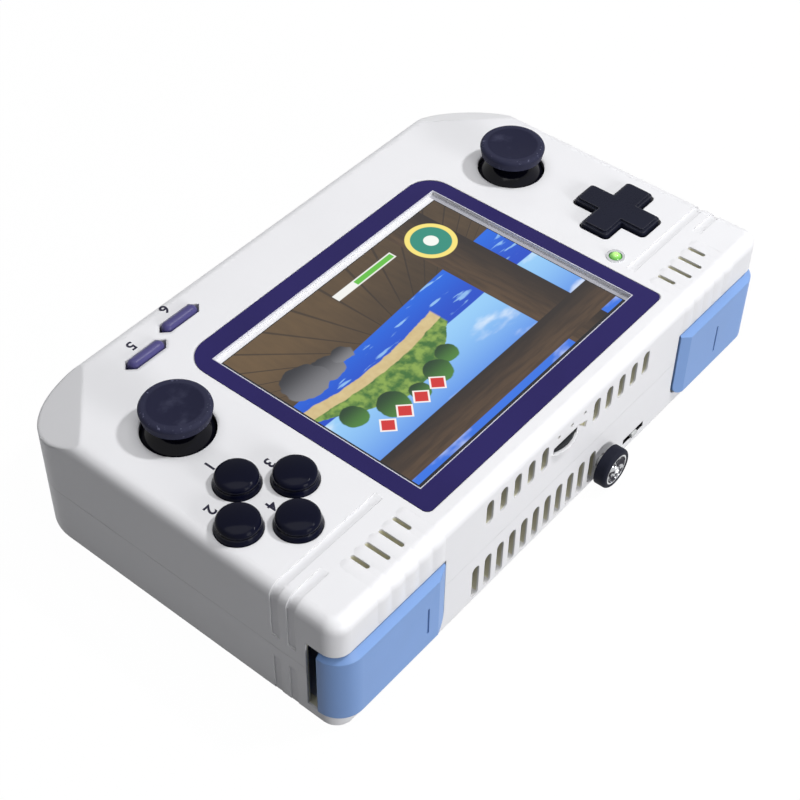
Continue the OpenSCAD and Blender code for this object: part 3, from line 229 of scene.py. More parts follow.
class Tree:
    """The shader tree of one material or of the world."""

    def __init__(self, owner: Union[bpy.types.Material, bpy.types.World, str]) -> None:
        """Start an empty tree.

        Args:
            owner: The material or world that holds the tree, or a new material's name.
        """
        self.owner = bpy.data.materials.new(owner) if isinstance(owner, str) else owner
        self.owner.use_nodes = True
        self.nodes = self.owner.node_tree.nodes
        self.links = self.owner.node_tree.links
        self.nodes.clear()
        self.where = self.node("ShaderNodeTexCoord", output="Object")

    def node(
        self,
        kind: str,
        settings: Mapping[str, Any] | None = None,
        sockets: Sockets | None = None,
        output: Union[int, str] = 0,
    ) -> Value:
        """Add one node.

        Args:
            kind: The node's type.
            settings: Its own settings, set first.
            sockets: Values or links of its inputs, by index or name.
            output: The output that is wanted.

        Returns:
            That output, or the node itself wrapped without one where it ends the tree.
        """
        made = self.nodes.new(kind)
        for key, setting in (settings or {}).items():
            setattr(made, key, setting)
        for key, feed in (sockets or {}).items():
            self._feed(made.inputs[key], feed)
        return Value(self, made.outputs[output] if made.outputs else None)

    def _feed(self, socket: bpy.types.NodeSocket, feed: Feed) -> None:
        """Link a value to a socket, or set the socket.

        Args:
            socket: The input.
            feed: A value, a number, a vector or a colour.
        """
        if isinstance(feed, Value):
            self.links.new(feed.socket, socket)
        elif socket.type == "RGBA" and len(feed) == 3:
            socket.default_value = (*feed, 1.0)
        else:
            socket.default_value = feed

    def place(self) -> tuple[Value, Value, Value]:
        """Return X, Y and Z in the row frame, in millimetres."""
        parts = (
            self.node("ShaderNodeSeparateXYZ", None, {0: self.where}, axis) for axis in range(3)
        )
        return tuple(part * (1 / MM) for part in parts)

    def noise(self, size: float, detail: float = 2.0, where: Value | None = None) -> Value:
        """Add smooth noise.

        Args:
            size: Size of its largest patches.
            detail: Number of finer layers.
            where: The place that is read, the row frame if none is given.

        Returns:
            The noise, from 0 to 1.
        """
        return self.node(
            "ShaderNodeTexNoise",
            None,
            {"Vector": where or self.where, "Scale": 1 / (size * MM), "Detail": detail},
        )

    def stretched(self, factors: Sequence[float]) -> Value:
        """Return the row frame's place with each axis multiplied.

        Args:
            factors: The factor of each axis.

        Returns:
            The place.
        """
        return self.node(
            "ShaderNodeVectorMath", {"operation": "MULTIPLY"}, {0: self.where, 1: tuple(factors)}
        )

    def blend(self, share: Number, first: Feed, second: Feed) -> Value:
        """Mix two colours.

        Args:
            share: Share of the second colour.
            first: The first colour.
            second: The second colour.

        Returns:
            The mixed colour.
        """
        sockets: Sockets = {0: share, MIX_FIRST: first, MIX_SECOND: second}
        return self.node("ShaderNodeMix", {"data_type": "RGBA"}, sockets, MIX_RESULT)

    def rounded_edges(self, radius: float) -> Value:
        """Return a normal that rounds sharp edges a little.

        Args:
            radius: Radius of the rounding.

        Returns:
            The normal.
        """
        return self.node("ShaderNodeBevel", {"samples": 4}, {"Radius": radius * MM})

    def turning(self, bent: Value) -> Value:
        """Return where a rounded normal leaves the surface's own, which is at the edges.

        Args:
            bent: The rounded normal.

        Returns:
            A share of 1 at the edges.
        """
        own = self.node("ShaderNodeNewGeometry", output="True Normal")
        along = self.node(
            "ShaderNodeVectorMath", {"operation": "DOT_PRODUCT"}, {0: own, 1: bent}, "Value"
        )
        return 1 - along.rise(*EDGE_COSINES)

    def bump(self, height: Value, depth: float, normal: Value | None = None) -> Value:
        """Return a normal that follows small heights.

        Args:
            height: The heights, from 0 to 1.
            depth: Depth of a height of 1.
            normal: The normal that is bent, the surface's own if none is given.

        Returns:
            The bent normal.
        """
        sockets: Sockets = {"Height": height, "Strength": 1.0, "Distance": depth * MM}
        if normal is not None:
            sockets["Normal"] = normal
        return self.node("ShaderNodeBump", None, sockets)

    def close(self, shader: Value) -> bpy.types.Material:
        """Link a shader to the material's output.

        Args:
            shader: The shader.

        Returns:
            The material.
        """
        self.node("ShaderNodeOutputMaterial", None, {"Surface": shader})
        return self.owner


@dataclass(frozen=True)
class Finish(ABC):
    """A finish that is made into one material.

    Attributes:
        name: The material's name.
    """

    name: str

    def material(self) -> bpy.types.Material:
        """Make the material.

        Returns:
            The material.
        """
        tree = Tree(self.name)
        return tree.close(tree.node("ShaderNodeBsdfPrincipled", None, self.inputs(tree)))

    @abstractmethod
    def inputs(self, tree: Tree) -> Sockets:
        """Work out the inputs of the surface shader.

        Args:
            tree: The material's tree.

        Returns:
            The inputs.
        """


@dataclass(frozen=True)
class Region:
    """A box of the row frame in which a plastic has another colour.

    Attributes:
        colour: Linear colour inside the box.
        east: Least and greatest X.
        north: Least and greatest Y.
        up: Least and greatest Z.
        blur: Width of its soft limits.
        mirrored: Whether it lies on both sides of the case.
    """

    colour: Colour
    east: Pair
    north: Pair
    up: Pair
    blur: float = 0.2
    mirrored: bool = True

    def mask(self, tree: Tree) -> Value:
        """Return 1 inside the box and 0 outside it.

        Args:
            tree: The material's tree.

        Returns:
            The mask.
        """
        east, north, up = tree.place()
        reach = abs(east) if self.mirrored else east
        inside = reach.band(*self.east, self.blur) * north.band(*self.north, self.blur)
        return inside * up.band(*self.up, self.blur)


@dataclass(frozen=True)
class MouldedPlastic(Finish):
    """Injection-moulded plastic with a fine tool texture and slight unevenness.

    Attributes:
        colour: Its linear colour.
        roughness: Its mean roughness.
        specular: How strongly it mirrors.
        mottle: Share by which the colour drifts over the piece.
        grain: Size of the tool texture.
        grain_depth: Depth of the tool texture.
        edge: Radius that sharp edges seem to have.
        corner_darkening: Share by which narrow corners, found by an occlusion test, are darkened.
        polish: Weight of the gloss that handling leaves on the edges.
        polished: Roughness of that gloss.
        patch: Size of the patches in which colour and roughness drift.
        scuff: Size of the faint scuffs.
        unevenness: Weights of the drift, the grain and the scuffs in the roughness.
        nook: Width of the corners that are darkened.
        darkened_share: Share of each colour that is left in the darkened corners.
        regions: Boxes in which the colour is another.
    """

    colour: Colour
    roughness: float
    specular: float = 0.5
    mottle: float = 0.03
    grain: float = 0.35
    grain_depth: float = 0.004
    edge: float = 0.25
    corner_darkening: float = 0.0
    polish: float = 0.0
    polished: float = 0.08
    patch: float = 26.0
    scuff: float = 3.2
    unevenness: Triple = (0.10, 0.06, 0.05)
    nook: float = 1.6
    darkened_share: Colour = (0.46, 0.45, 0.42)
    regions: tuple[Region, ...] = ()

    def inputs(self, tree: Tree) -> Sockets:
        """Describe the plastic.

        Args:
            tree: The material's tree.

        Returns:
            The shader's inputs.
        """
        drift = tree.noise(self.patch, 3)
        grain = tree.noise(self.grain, 2)
        scuffs = tree.noise(self.scuff, 4, tree.stretched((1.0, 0.25, 1.0))).rise(0.56, 0.72)
        by_drift, by_grain, by_scuffs = self.unevenness
        rough = self.roughness + (drift - 0.5) * by_drift + (grain - 0.5) * by_grain
        rough = rough + scuffs * by_scuffs
        bent = self.bend(tree)
        sockets: Sockets = {
            "Base Color": self.tint(tree, drift),
            "Roughness": rough,
            "Specular IOR Level": self.specular,
            "Normal": tree.bump(grain, self.grain_depth, bent),
        }
        if self.polish:
            sockets["Coat Weight"] = tree.turning(bent) * self.polish
            sockets["Coat Roughness"] = self.polished
        return sockets

    def bend(self, tree: Tree) -> Value:
        """Round the edges.

        Args:
            tree: The material's tree.

        Returns:
            The rounded normal.
        """
        return tree.rounded_edges(self.edge)

    def tint(self, tree: Tree, drift: Value) -> Value:
        """Colour the plastic.

        Args:
            tree: The material's tree.
            drift: Slow noise over the piece.

        Returns:
            The colour.
        """
        pale = tuple(min(1.0, c * (1 + self.mottle)) for c in self.colour)
        deep = tuple(c * (1 - self.mottle) for c in self.colour)
        colour = tree.blend(drift.rise(0.3, 0.7), deep, pale)
        # Narrow corners, found by an occlusion test, are darkened towards a dimmer copy of the
        # colour.
        if self.corner_darkening:
            open_air = tree.node(
                "ShaderNodeAmbientOcclusion", {"samples": 6}, {"Distance": self.nook * MM}, "AO"
            )
            corner_dark = (1 - open_air.rise(0.35, 0.95)) * self.corner_darkening
            darkened_colour = tuple(c * s for c, s in zip(self.colour, self.darkened_share))
            colour = tree.blend(corner_dark, colour, darkened_colour)
        for region in self.regions:
            colour = tree.blend(region.mask(tree), colour, region.colour)
        return colour


@dataclass(frozen=True)
class ShellPlastic(MouldedPlastic):
    """Moulded plastic of the shells, rounder at the sloped corners.

    Attributes:
        soft_edge: Radius that the edges there seem to have.
        slope_from: Least X, greatest Y and least Z of the sloped corners.
    """

    soft_edge: float = 1.3
    slope_from: Triple = (36.0, -14.0, 20.0)

    def bend(self, tree: Tree) -> Value:
        """Round the edges, and those of the sloped corners more.

        Args:
            tree: The material's tree.

        Returns:
            The rounded normal.
        """
        east, north, up = tree.place()
        far, near, low = self.slope_from
        corner = abs(east).above(far, 2.0) * (1 - north.above(near, 2.0)) * up.above(low, 1.0)
        return tree.blend(corner, super().bend(tree), tree.rounded_edges(self.soft_edge))


@dataclass(frozen=True)
class GripRubber(Finish):
    """Soft dark rubber with fine pits and a trace of dust.

    Attributes:
        colour: Its linear colour.
        dust: Linear colour of the dust, and of the painted sheen on the stick caps.
        pit: Size of the pits.
        cloud: Size of the patches of dust.
        ripple: Size of the unevenness under the pits.
        depth: Depth of the pits.
        edge: Radius that sharp edges seem to have.
    """

    colour: Colour
    dust: Colour
    pit: float = 0.32
    cloud: float = 4.5
    ripple: float = 0.9
    depth: float = 0.014
    edge: float = 0.2

    def inputs(self, tree: Tree) -> Sockets:
        """Describe the rubber.

        Args:
            tree: The material's tree.

        Returns:
            The shader's inputs.
        """
        pits = tree.node(
            "ShaderNodeTexVoronoi",
            {"feature": "SMOOTH_F1"},
            {"Vector": tree.where, "Scale": 1 / (self.pit * MM)},
        )
        cloud = tree.noise(self.cloud, 4)
        height = pits * 0.7 + tree.noise(self.ripple, 2) * 0.3
        return {
            "Base Color": tree.blend(self.dust_and_sheen(tree, cloud), self.colour, self.dust),
            "Roughness": 0.5 + cloud * 0.16 + pits * 0.06,
            "Specular IOR Level": 0.1,
            "Normal": tree.bump(height, self.depth, tree.rounded_edges(self.edge)),
        }

    def dust_and_sheen(self, tree: Tree, cloud: Value) -> Value:
        """Return where dust lies.

        Args:
            tree: The material's tree.
            cloud: Slow noise over the piece.

        Returns:
            The share of dust.
        """
        return cloud.rise(0.5, 0.85) * 0.2


@dataclass(frozen=True)
class CapRubber(GripRubber):
    """Rubber of the stick caps, with pale specks of dust caught along the rim and a painted sheen on
    the shoulder.

    Attributes:
        stick: X and Y of the right stick's axis.
        rim: Radius of the rim.
        shoulder: How far inside the rim the band of painted sheen starts, and how far it is full.
    """

    stick: Pair = (55.7, -19.4)
    rim: float = 6.9
    shoulder: Pair = (1.3, 0.7)

    def dust_and_sheen(self, tree: Tree, cloud: Value) -> Value:
        """Return where dust and specks lie, and where the painted sheen falls.

        Args:
            tree: The material's tree.
            cloud: Slow noise over the piece.

        Returns:
            The share of the dust colour, for dust and painted sheen.
        """
        east, north, _ = tree.place()
        away = ((abs(east) - self.stick[0]) ** 2 + (north - self.stick[1]) ** 2).root()
        near = 1 - abs(away - self.rim).rise(0.1, 0.9)
        specks = tree.noise(0.55, 3).rise(0.56, 0.70) * tree.noise(2.4, 2).rise(0.42, 0.62)
        # Painted sheen: a lighter band on the shoulder, where light catches the cap.
        start, full = self.shoulder
        painted_sheen = away.rise(self.rim - start, self.rim - full) * (0.02 + cloud * 0.11)
        return (specks * near * 0.8).most(painted_sheen).most(super().dust_and_sheen(tree, cloud))


@dataclass(frozen=True)
class BrightMetal(Finish):
    """Bare metal with fine working marks.

    Attributes:
        colour: Its linear colour.
        roughness: Its least roughness.
        stretch: How far the marks are drawn out along each axis.
        mark: Size of the marks across their length.
        depth: Depth of the marks.
        edge: Radius that sharp edges seem to have.
        dulled: Share of the colour that tarnish leaves.
    """

    colour: Colour
    roughness: float
    stretch: Triple = (1.0, 0.05, 1.0)
    mark: float = 0.25
    depth: float = 0.002
    edge: float = 0.12
    dulled: float = 0.82

    def inputs(self, tree: Tree) -> Sockets:
        """Describe the metal.

        Args:
            tree: The material's tree.

        Returns:
            The shader's inputs.
        """
        marks = tree.noise(self.mark, 3, tree.stretched(self.stretch))
        tarnish = tree.noise(5, 3).rise(0.45, 0.8)
        return {
            "Base Color": self.tint(tree, tarnish),
            "Metallic": 1.0,
            "Roughness": self.roughness + marks * 0.08 + tarnish * 0.06,
            "Normal": tree.bump(marks, self.depth, tree.rounded_edges(self.edge)),
        }

    def tint(self, tree: Tree, tarnish: Value) -> Value:
        """Colour the metal.

        Args:
            tree: The material's tree.
            tarnish: Where the metal is dull.

        Returns:
            The colour.
        """
        return tree.blend(tarnish, self.colour, tuple(c * self.dulled for c in self.colour))


@dataclass(frozen=True)
class DishedMetal(BrightMetal):
    """Bright metal whose bowl, between its ring and its hub, is darker and carries painted glints.

    Attributes:
        bowl: Linear colour of the bowl.
        axis: X and Z of the axis.
        ring: Radius at which the bright ring starts.
        hub: Radius of the bright hub.
        painted_glint: Size of the painted glints in the bowl.
    """

    bowl: Colour = (0.05, 0.05, 0.06)
    axis: Pair = (-13.7, 5.3)
    ring: float = 3.35
    hub: float = 0.7
    painted_glint: float = 1.3

    def tint(self, tree: Tree, tarnish: Value) -> Value:
        """Colour the metal, with a darker bowl and painted spoke-like glints in it.

        Args:
            tree: The material's tree.
            tarnish: Where the metal is dull.

        Returns:
            The colour.
        """
        east, _, up = tree.place()
        away = ((east - self.axis[0]) ** 2 + (up - self.axis[1]) ** 2).root()
        # Painted glints: bright spoke-like spots kept in the darker bowl.
        glints = tree.noise(self.painted_glint, 2).rise(0.52, 0.60)
        dark = away.band(self.hub, self.ring, 0.25) * (1 - glints * 0.75)
        return tree.blend(dark, super().tint(tree, tarnish), self.bowl)


@dataclass(frozen=True)
class CircuitBoard(Finish):
    """Lacquered board with copper tracks under the lacquer and pale pads.

    Attributes:
        lacquer: Linear colour of the lacquer.
        track: Linear colour over the tracks.
        pitch: Distance of the tracks.
        patch: Size of the areas in which tracks keep one course.
        region: Size of the areas whose tracks run one way.
        pad: Distance of the pads.
        tin: Linear colour of the pads.
    """

    lacquer: Colour
    track: Colour
    pitch: float = 1.9
    patch: float = 9.0
    region: float = 14.0
    pad: float = 2.6
    tin: Colour = paint(186, 172, 120)

    def inputs(self, tree: Tree) -> Sockets:
        """Describe the board.

        Args:
            tree: The material's tree.

        Returns:
            The shader's inputs.
        """
        east, north, _ = tree.place()
        turns = (tree.noise(self.patch, 0) * 5).floor()
        across = (east + north * 0.5) * (1 / self.pitch) + turns * 0.37
        along = (north - east * 0.5) * (1 / self.pitch) + turns * 0.21
        pick = (tree.noise(self.region, 0) - 0.5).above(0.0, 0.002)
        line = abs((across * pick + along * (1 - pick)).fraction() - 0.5)
        tracks = 1 - line.rise(0.14, 0.18)
        pads = 1 - tree.node(
            "ShaderNodeTexVoronoi",
            None,
            {"Vector": tree.where, "Scale": 1 / (self.pad * MM), "Randomness": 0.55},
        ).rise(0.20, 0.24)
        colour = tree.blend(pads, tree.blend(tracks, self.lacquer, self.track), self.tin)
        return {
            "Base Color": colour,
            "Metallic": pads * 0.8,
            "Roughness": 0.32 + tree.noise(1.2, 3) * 0.16,
            "Normal": tree.bump(tracks * 0.6 + pads * 0.4, 0.03),
        }


@dataclass(frozen=True)
class LitLens(Finish):
    """Clear tinted lens that glows most in its middle.

    Attributes:
        rim: Linear colour of its edge.
        core: Linear colour of its glow.
        centre: X and Y of its axis.
        radius: Its radius.
        strength: Brightness of its glow.
    """

    rim: Colour
    core: Colour
    centre: Pair
    radius: float
    strength: float = 0.42

    def inputs(self, tree: Tree) -> Sockets:
        """Describe the lens.

        Args:
            tree: The material's tree.

        Returns:
            The shader's inputs.
        """
        east, north, _ = tree.place()
        away = ((east - self.centre[0]) ** 2 + (north - self.centre[1]) ** 2).root()
        glow = 1 - (away / self.radius).rise(0.15, 1.0)
        return {
            "Base Color": tree.blend(glow, self.rim, self.core),
            "Roughness": 0.16 + tree.noise(0.5, 2) * 0.06,
            "Coat Weight": 0.6,
            "Coat Roughness": 0.04,
            "Emission Color": tree.blend(glow, self.rim, self.core),
            "Emission Strength": self.strength,
        }


@dataclass
class Canvas:
    """A picture that is painted layer by layer.

    Attributes:
        tree: The material's tree.
        across: Distance across the picture, from 0 to 4.
        up: Height in the picture, from 0 to 3.
        view: The picture so far.
    """

    tree: Tree
    across: Value
    up: Value
    view: Feed = (0.0, 0.0, 0.0)

    def lay(self, mask: Number, colour: Feed) -> None:
        """Paint one layer over the picture.

        Args:
            mask: Where the layer covers it.
            colour: The layer's colour.
        """
        self.view = self.tree.blend(mask, self.view, colour)


@dataclass(frozen=True)
class ScreenPicture(Finish):
    """A lit panel that shows a plain seaside view from a wooden porch.

    Attributes:
        width: Width of the picture.
        height: Height of the picture.
        strip: Width of the picture's lower and left edge that the pale strip hides.
        line: Width of the black line between the picture and the strip.
        strength: Brightness of the panel.
        horizon: Height of the sea's far edge.
        hill: Height of the island's hills over the horizon.
        crisp: Width of the soft step at a sharp outline.
        trees: Place across and radius of each tree.
        stones: Place across, height and radius of each stone.
    """

    width: float
    height: float
    strip: float = 0.45
    line: float = 0.22
    strength: float = 1.0
    horizon: float = 1.62
    hill: float = 0.42
    crisp: float = 0.012
    trees: tuple[Pair, ...] = (
        (2.16, 0.15),
        (2.46, 0.19),
        (2.86, 0.14),
        (3.22, 0.21),
        (3.66, 0.17),
    )
    stones: tuple[Triple, ...] = (
        (3.28, 1.02, 0.20),
        (3.62, 0.98, 0.27),
        (2.98, 0.99, 0.13),
    )

    def inputs(self, tree: Tree) -> Sockets:
        """Describe the lit panel.

        Args:
            tree: The material's tree.

        Returns:
            The shader's inputs.
        """
        east, north, _ = tree.place()
        page = Canvas(tree, (east / self.width + 0.5) * 4, (north / self.height + 0.5) * 3)
        for layer in (self.sky, self.sea, self.island, self.deck, self.porch, self.counters):
            layer(page)
        low_x, low_y = self.strip - self.width / 2, self.strip - self.height / 2
        lit = east.band(low_x, self.width / 2, 0.1) * north.band(low_y, self.height / 2, 0.1)
        east_of_shaded_strip = east.above(low_x - self.line, 0.06)
        bare = 1 - east_of_shaded_strip * north.above(low_y - self.line, 0.06)
        # Painted shade: the strip is grey on its left part and pale on its lower part.
        strip = tree.blend(east_of_shaded_strip, paint(172, 172, 180), paint(232, 232, 236))
        return {
            "Base Color": tree.blend(bare, (0.012, 0.012, 0.014), strip),
            "Roughness": 0.16 + tree.noise(7, 3) * 0.05,
            "Specular IOR Level": 0.25,
            "Emission Color": tree.blend(lit, (0.004, 0.004, 0.005), page.view),
            "Emission Strength": self.strength,
        }

    def sky(self, page: Canvas) -> None:
        """Paint a clear sky with soft clouds.

        Args:
            page: The picture.
        """
        tree = page.tree
        depth = page.up.rise(1.5, 3.0)
        page.view = tree.blend(depth, paint(150, 205, 246), paint(46, 112, 224))
        puffs = tree.noise(13, 4, tree.stretched((0.6, 1.3, 1.0))).rise(0.52, 0.66)
        page.lay(puffs * 0.8, paint(240, 247, 253))

    def sea(self, page: Canvas) -> None:
        """Paint the sea with glints.

        Args:
            page: The picture.
        """
        tree, across, up = page.tree, page.across, page.up
        water = tree.blend(up.rise(0.7, self.horizon), paint(16, 108, 228), paint(12, 70, 196))
        glints = tree.noise(2.6, 3, tree.stretched((0.28, 1.6, 1.0))).rise(0.60, 0.68)
        water = tree.blend(glints * 0.7, water, paint(164, 214, 250))
        shore = up - self.horizon + (across * 3.1).sine() * 0.008
        page.lay(1 - shore.above(0.0, 0.015), water)

    def island(self, page: Canvas) -> None:
        """Paint a green island with a beach and round trees.

        Args:
            page: The picture.
        """
        tree, across, up = page.tree, page.across, page.up
        rough = (tree.noise(4, 3) - 0.5) * 0.16
        wave = (across * 1.5 - 2.6).sine()
        ridge = self.horizon + (wave * self.hill).most(-0.35) + rough
        beach = 1.46 + wave * 0.10 + rough * 0.5
        inside = across.above(1.72, 0.04)
        sand = tree.blend(tree.noise(1.6, 3), paint(196, 170, 118), paint(222, 202, 150))
        tufts = tree.noise(2.4, 4).rise(0.35, 0.65)
        grass = tree.blend(tufts, paint(58, 108, 44), paint(136, 168, 74))
        below = 1 - (up - ridge).above(0.0, 0.02)
        page.lay(below * up.above(beach, 0.02) * inside, grass)
        page.lay((beach - up).band(-0.02, 0.14, 0.02) * inside, sand)
        for spot, size in self.trees:
            crown = self.horizon + self.hill * math.sin(spot * 1.5 - 2.6) + 0.05
            away = ((across - spot) ** 2 + (up - crown) ** 2).root() + rough * 0.5
            leaf = tree.blend((up - crown).rise(-size, size), paint(24, 58, 30), paint(74, 128, 52))
            page.lay(1 - away.above(size, 0.02), leaf)

    def deck(self, page: Canvas) -> None:
        """Paint a plank deck in perspective with grey stones at its edge.

        Args:
            page: The picture.
        """
        tree, across, up = page.tree, page.across, page.up
        away = (1.75 - up).most(0.2)
        lane = (across - 2.3) / away * 3.4
        tone = (lane.floor() * 12.9).sine() * 0.5 + 0.5
        grain = tree.noise(1.3, 4, tree.stretched((1.0, 0.22, 1.0)))
        wood = tree.blend(tone * 0.55 + grain * 0.45, paint(60, 47, 31), paint(112, 88, 56))
        seam = abs(lane.fraction() - 0.5).above(0.46, 0.03)
        wood = tree.blend(seam * 0.6, wood, paint(30, 23, 17))
        wood = tree.blend(up.rise(0.25, 1.1) * 0.45, wood, paint(46, 36, 26))
        page.lay((1.02 - up + (across - 2) * 0.06).above(0.0, 0.015), wood)
        for spot, low, size in self.stones:
            gone = (((across - spot) * 0.85) ** 2 + (up - low) ** 2).root()
            gone = gone + (tree.noise(3, 2) - 0.5) * 0.10
            shine = (up - low).rise(-size, size)
            stone = tree.blend(shine, paint(42, 43, 48), paint(128, 128, 132))
            page.lay(1 - gone.above(size, 0.02), stone)

    def porch(self, page: Canvas) -> None:
        """Paint a post and a beam of dark timber.

        Args:
            page: The picture.
        """
        tree, across, up = page.tree, page.across, page.up
        upright = tree.noise(1.1, 4, tree.stretched((1.0, 0.12, 1.0)))
        level = tree.noise(1.1, 4, tree.stretched((0.12, 1.0, 1.0)))
        post = tree.blend(across.rise(0.32, 1.06), paint(40, 30, 22), paint(88, 67, 45))
        post = tree.blend(upright.rise(0.35, 0.7) * 0.5, post, paint(34, 26, 20))
        beam = tree.blend(up.rise(2.42, 2.86), paint(38, 29, 22), paint(84, 64, 44))
        beam = tree.blend(level.rise(0.35, 0.7) * 0.5, beam, paint(32, 24, 19))
        page.lay(across.band(0.34, 1.02, self.crisp), post)
        page.lay(up.band(2.44, 2.9, self.crisp), beam)

    def counters(self, page: Canvas) -> None:
        """Paint plain score counters: pips, a ring and a bar.

        Args:
            page: The picture.
        """
        across, up, crisp = page.across, page.up, self.crisp
        for number in range(4):
            pip = abs(across - (2.62 + 0.3 * number)) + abs(up - 2.16)
            page.lay(1 - pip.above(0.14, crisp), paint(250, 240, 236))
            page.lay(1 - pip.above(0.11, crisp), paint(206, 44, 40))
        ring = ((across - 0.68) ** 2 + (up - 0.5) ** 2).root()
        page.lay(1 - ring.above(0.34, crisp), paint(246, 226, 120))
        page.lay(1 - ring.above(0.27, crisp), paint(38, 140, 120))
        page.lay(1 - ring.above(0.10, crisp), paint(244, 246, 240))
        bar = across.band(1.2, 2.3, crisp) * up.band(0.24, 0.36, crisp)
        page.lay(bar, paint(240, 240, 236))
        full = across.band(1.22, 1.92, crisp) * up.band(0.26, 0.34, crisp)
        page.lay(full, paint(96, 188, 60))


class Paints:
    """The finishes of the console, each made once."""

    def __init__(self) -> None:
        """Start with no material made."""
        self._made: dict[str, bpy.types.Material] = {}

    def get(self, finish: Finish) -> bpy.types.Material:
        """Return a finish's material.

        Args:
            finish: The finish.

        Returns:
            Its material, made at its first use.
        """
        name = finish.name
        if name not in self._made:
            self._made[name] = finish.material()
        return self._made[name]


# Painted shade: a dimmer khaki tone on the inner faces behind the vents, the speaker slots and the
# trigger openings, and near-black inside the slide switch's slot.
RECESS_SHADE_PAINT = paint(222, 219, 196)
SWITCH_SHADE = paint(20, 20, 22)
WINDOW_RIM = paint(214, 214, 226)
VENTS = Region(RECESS_SHADE_PAINT, east=(-1.0, 41.0), north=(30.0, 38.2), up=(1.9, 28.6))
SPEAKER_SLOTS = Region(RECESS_SHADE_PAINT, east=(42.0, 62.0), north=(27.5, 35.8), up=(23.0, 31.6))
TRIGGER_DOORS = Region(RECESS_SHADE_PAINT, east=(41.2, 73.4), north=(28.0, 38.2), up=(3.0, 22.8))
SWITCH_SLOT = Region(
    SWITCH_SHADE, east=(-31.5, -22.3), north=(35.0, 38.48), up=(1.8, 4.6), blur=0.1, mirrored=False
)
WINDOW_EDGE = Region(
    WINDOW_RIM, east=(-1.0, 36.87), north=(-28.12, 28.12), up=(0.0, 2 * FRONT), blur=0.08
)
WHITE_SHELL = ShellPlastic(
    "white_shell", paint(240, 240, 243), roughness=0.4, specular=0.3, mottle=0.014, grain=0.4,
    corner_darkening=0.2, regions=(VENTS, SPEAKER_SLOTS, TRIGGER_DOORS, SWITCH_SLOT),
)
PURPLE_PLATE = MouldedPlastic(
    "purple_plate", paint(43, 37, 93), roughness=0.42, specular=0.08, mottle=0.07, grain=0.3,
    grain_depth=0.003, edge=0.12, corner_darkening=0.2, regions=(WINDOW_EDGE,),
)
BLUE_TRIGGER = MouldedPlastic(
    "blue_trigger", paint(131, 166, 222), roughness=0.44, specular=0.2, grain=0.4, corner_darkening=0.25
)
GLOSS_BLACK = MouldedPlastic(
    "gloss_black", paint(12, 14, 33), roughness=0.1, specular=0.055, mottle=0.12, grain=0.8,
    grain_depth=0.0012, edge=0.6, polish=1.0,
)
DOME_BLACK = MouldedPlastic(
    "dome_black", paint(9, 9, 20), roughness=0.12, specular=0.14, mottle=0.15, grain=0.8,
    grain_depth=0.0012, edge=0.2,
)
SATIN_BLACK = MouldedPlastic(
    "satin_black", paint(27, 29, 44), roughness=0.28, specular=0.07, mottle=0.10, grain=0.3,
    grain_depth=0.003, edge=0.5, polish=0.8,
)
LILAC_KEY = MouldedPlastic(
    "lilac_key", paint(74, 70, 122), roughness=0.34, specular=0.2, mottle=0.05, grain=0.3,
    grain_depth=0.003, edge=0.2,
)
PALE_NUB = MouldedPlastic(
    "pale_nub", paint(206, 208, 208), roughness=0.4, specular=0.3, grain=0.3, grain_depth=0.003,
    edge=0.15,
)
STICK_RUBBER = CapRubber("stick_rubber", paint(26, 27, 49), dust=paint(122, 124, 152))
KNOB_RUBBER = GripRubber("knob_rubber", paint(26, 28, 40), dust=paint(84, 88, 96), pit=0.25)
WHEEL_RUBBER = GripRubber("wheel_rubber", paint(42, 44, 47), dust=paint(70, 72, 74), pit=0.25)
MIRROR_TRIM = BrightMetal("mirror_trim", (0.62, 0.63, 0.65), roughness=0.07)
DISHED_TRIM = DishedMetal("dished_trim", (0.70, 0.71, 0.73), roughness=0.07)
SCREW_STEEL = BrightMetal(
    "screw_steel", (0.56, 0.56, 0.57), roughness=0.28, stretch=(1.0, 1.0, 0.1)
)
SINK_METAL = BrightMetal("sink_metal", (0.62, 0.60, 0.50), roughness=0.36, stretch=(0.06, 1.0, 1.0))
GREEN_BOARD = CircuitBoard("green_board", paint(40, 74, 44), track=paint(66, 104, 58))
INNER_BLACK = MouldedPlastic(
    "inner_black", paint(36, 36, 38), roughness=0.55, specular=0.3, mottle=0.08
)
INNER_GREY = MouldedPlastic(
    "inner_grey", paint(122, 124, 126), roughness=0.5, specular=0.3, mottle=0.05
)
BLOWER_KHAKI = MouldedPlastic(
    "blower_khaki", paint(206, 201, 170), roughness=0.6, specular=0.2, mottle=0.06
)
SPEAKER_CLOTH = MouldedPlastic(
    "speaker_cloth", paint(204, 203, 192), roughness=0.7, specular=0.2, mottle=0.06
)
BATTERY_WRAP = MouldedPlastic(
    "battery_wrap", paint(96, 100, 108), roughness=0.4, specular=0.4, mottle=0.05
)
CLEAR_SILICONE = MouldedPlastic(
    "clear_silicone", paint(190, 192, 192), roughness=0.6, specular=0.25, mottle=0.04
)
MARK_INK = MouldedPlastic(
    "mark_ink", paint(34, 32, 52), roughness=0.6, specular=0.2, mottle=0.12, grain=0.2,
    grain_depth=0.003, edge=0.02,
)


@dataclass
class SubAssembly(ABC):
    """A group of pieces that are built and dressed together.

    Attributes:
        nodes: The frame's nodes by name.
        paints: The materials made so far.
    """

    nodes: Mapping[str, bpy.types.Object]
    paints: Paints

    @abstractmethod
    def dress(self) -> None:
        """Give every node of the group its finish."""

    def build(self) -> None:
        """Add the group's own pieces, if it has any."""

    def coat(self, finish: Finish, *names: str) -> None:
        """Give nodes one finish.

        Args:
            finish: The finish.
            names: The nodes.
        """
        material = self.paints.get(finish)
        for name in names:
            mesh = self.nodes[name].data
            mesh.materials.clear()
            mesh.materials.append(material)
            LOG.info("%s: %s", name, finish.name)


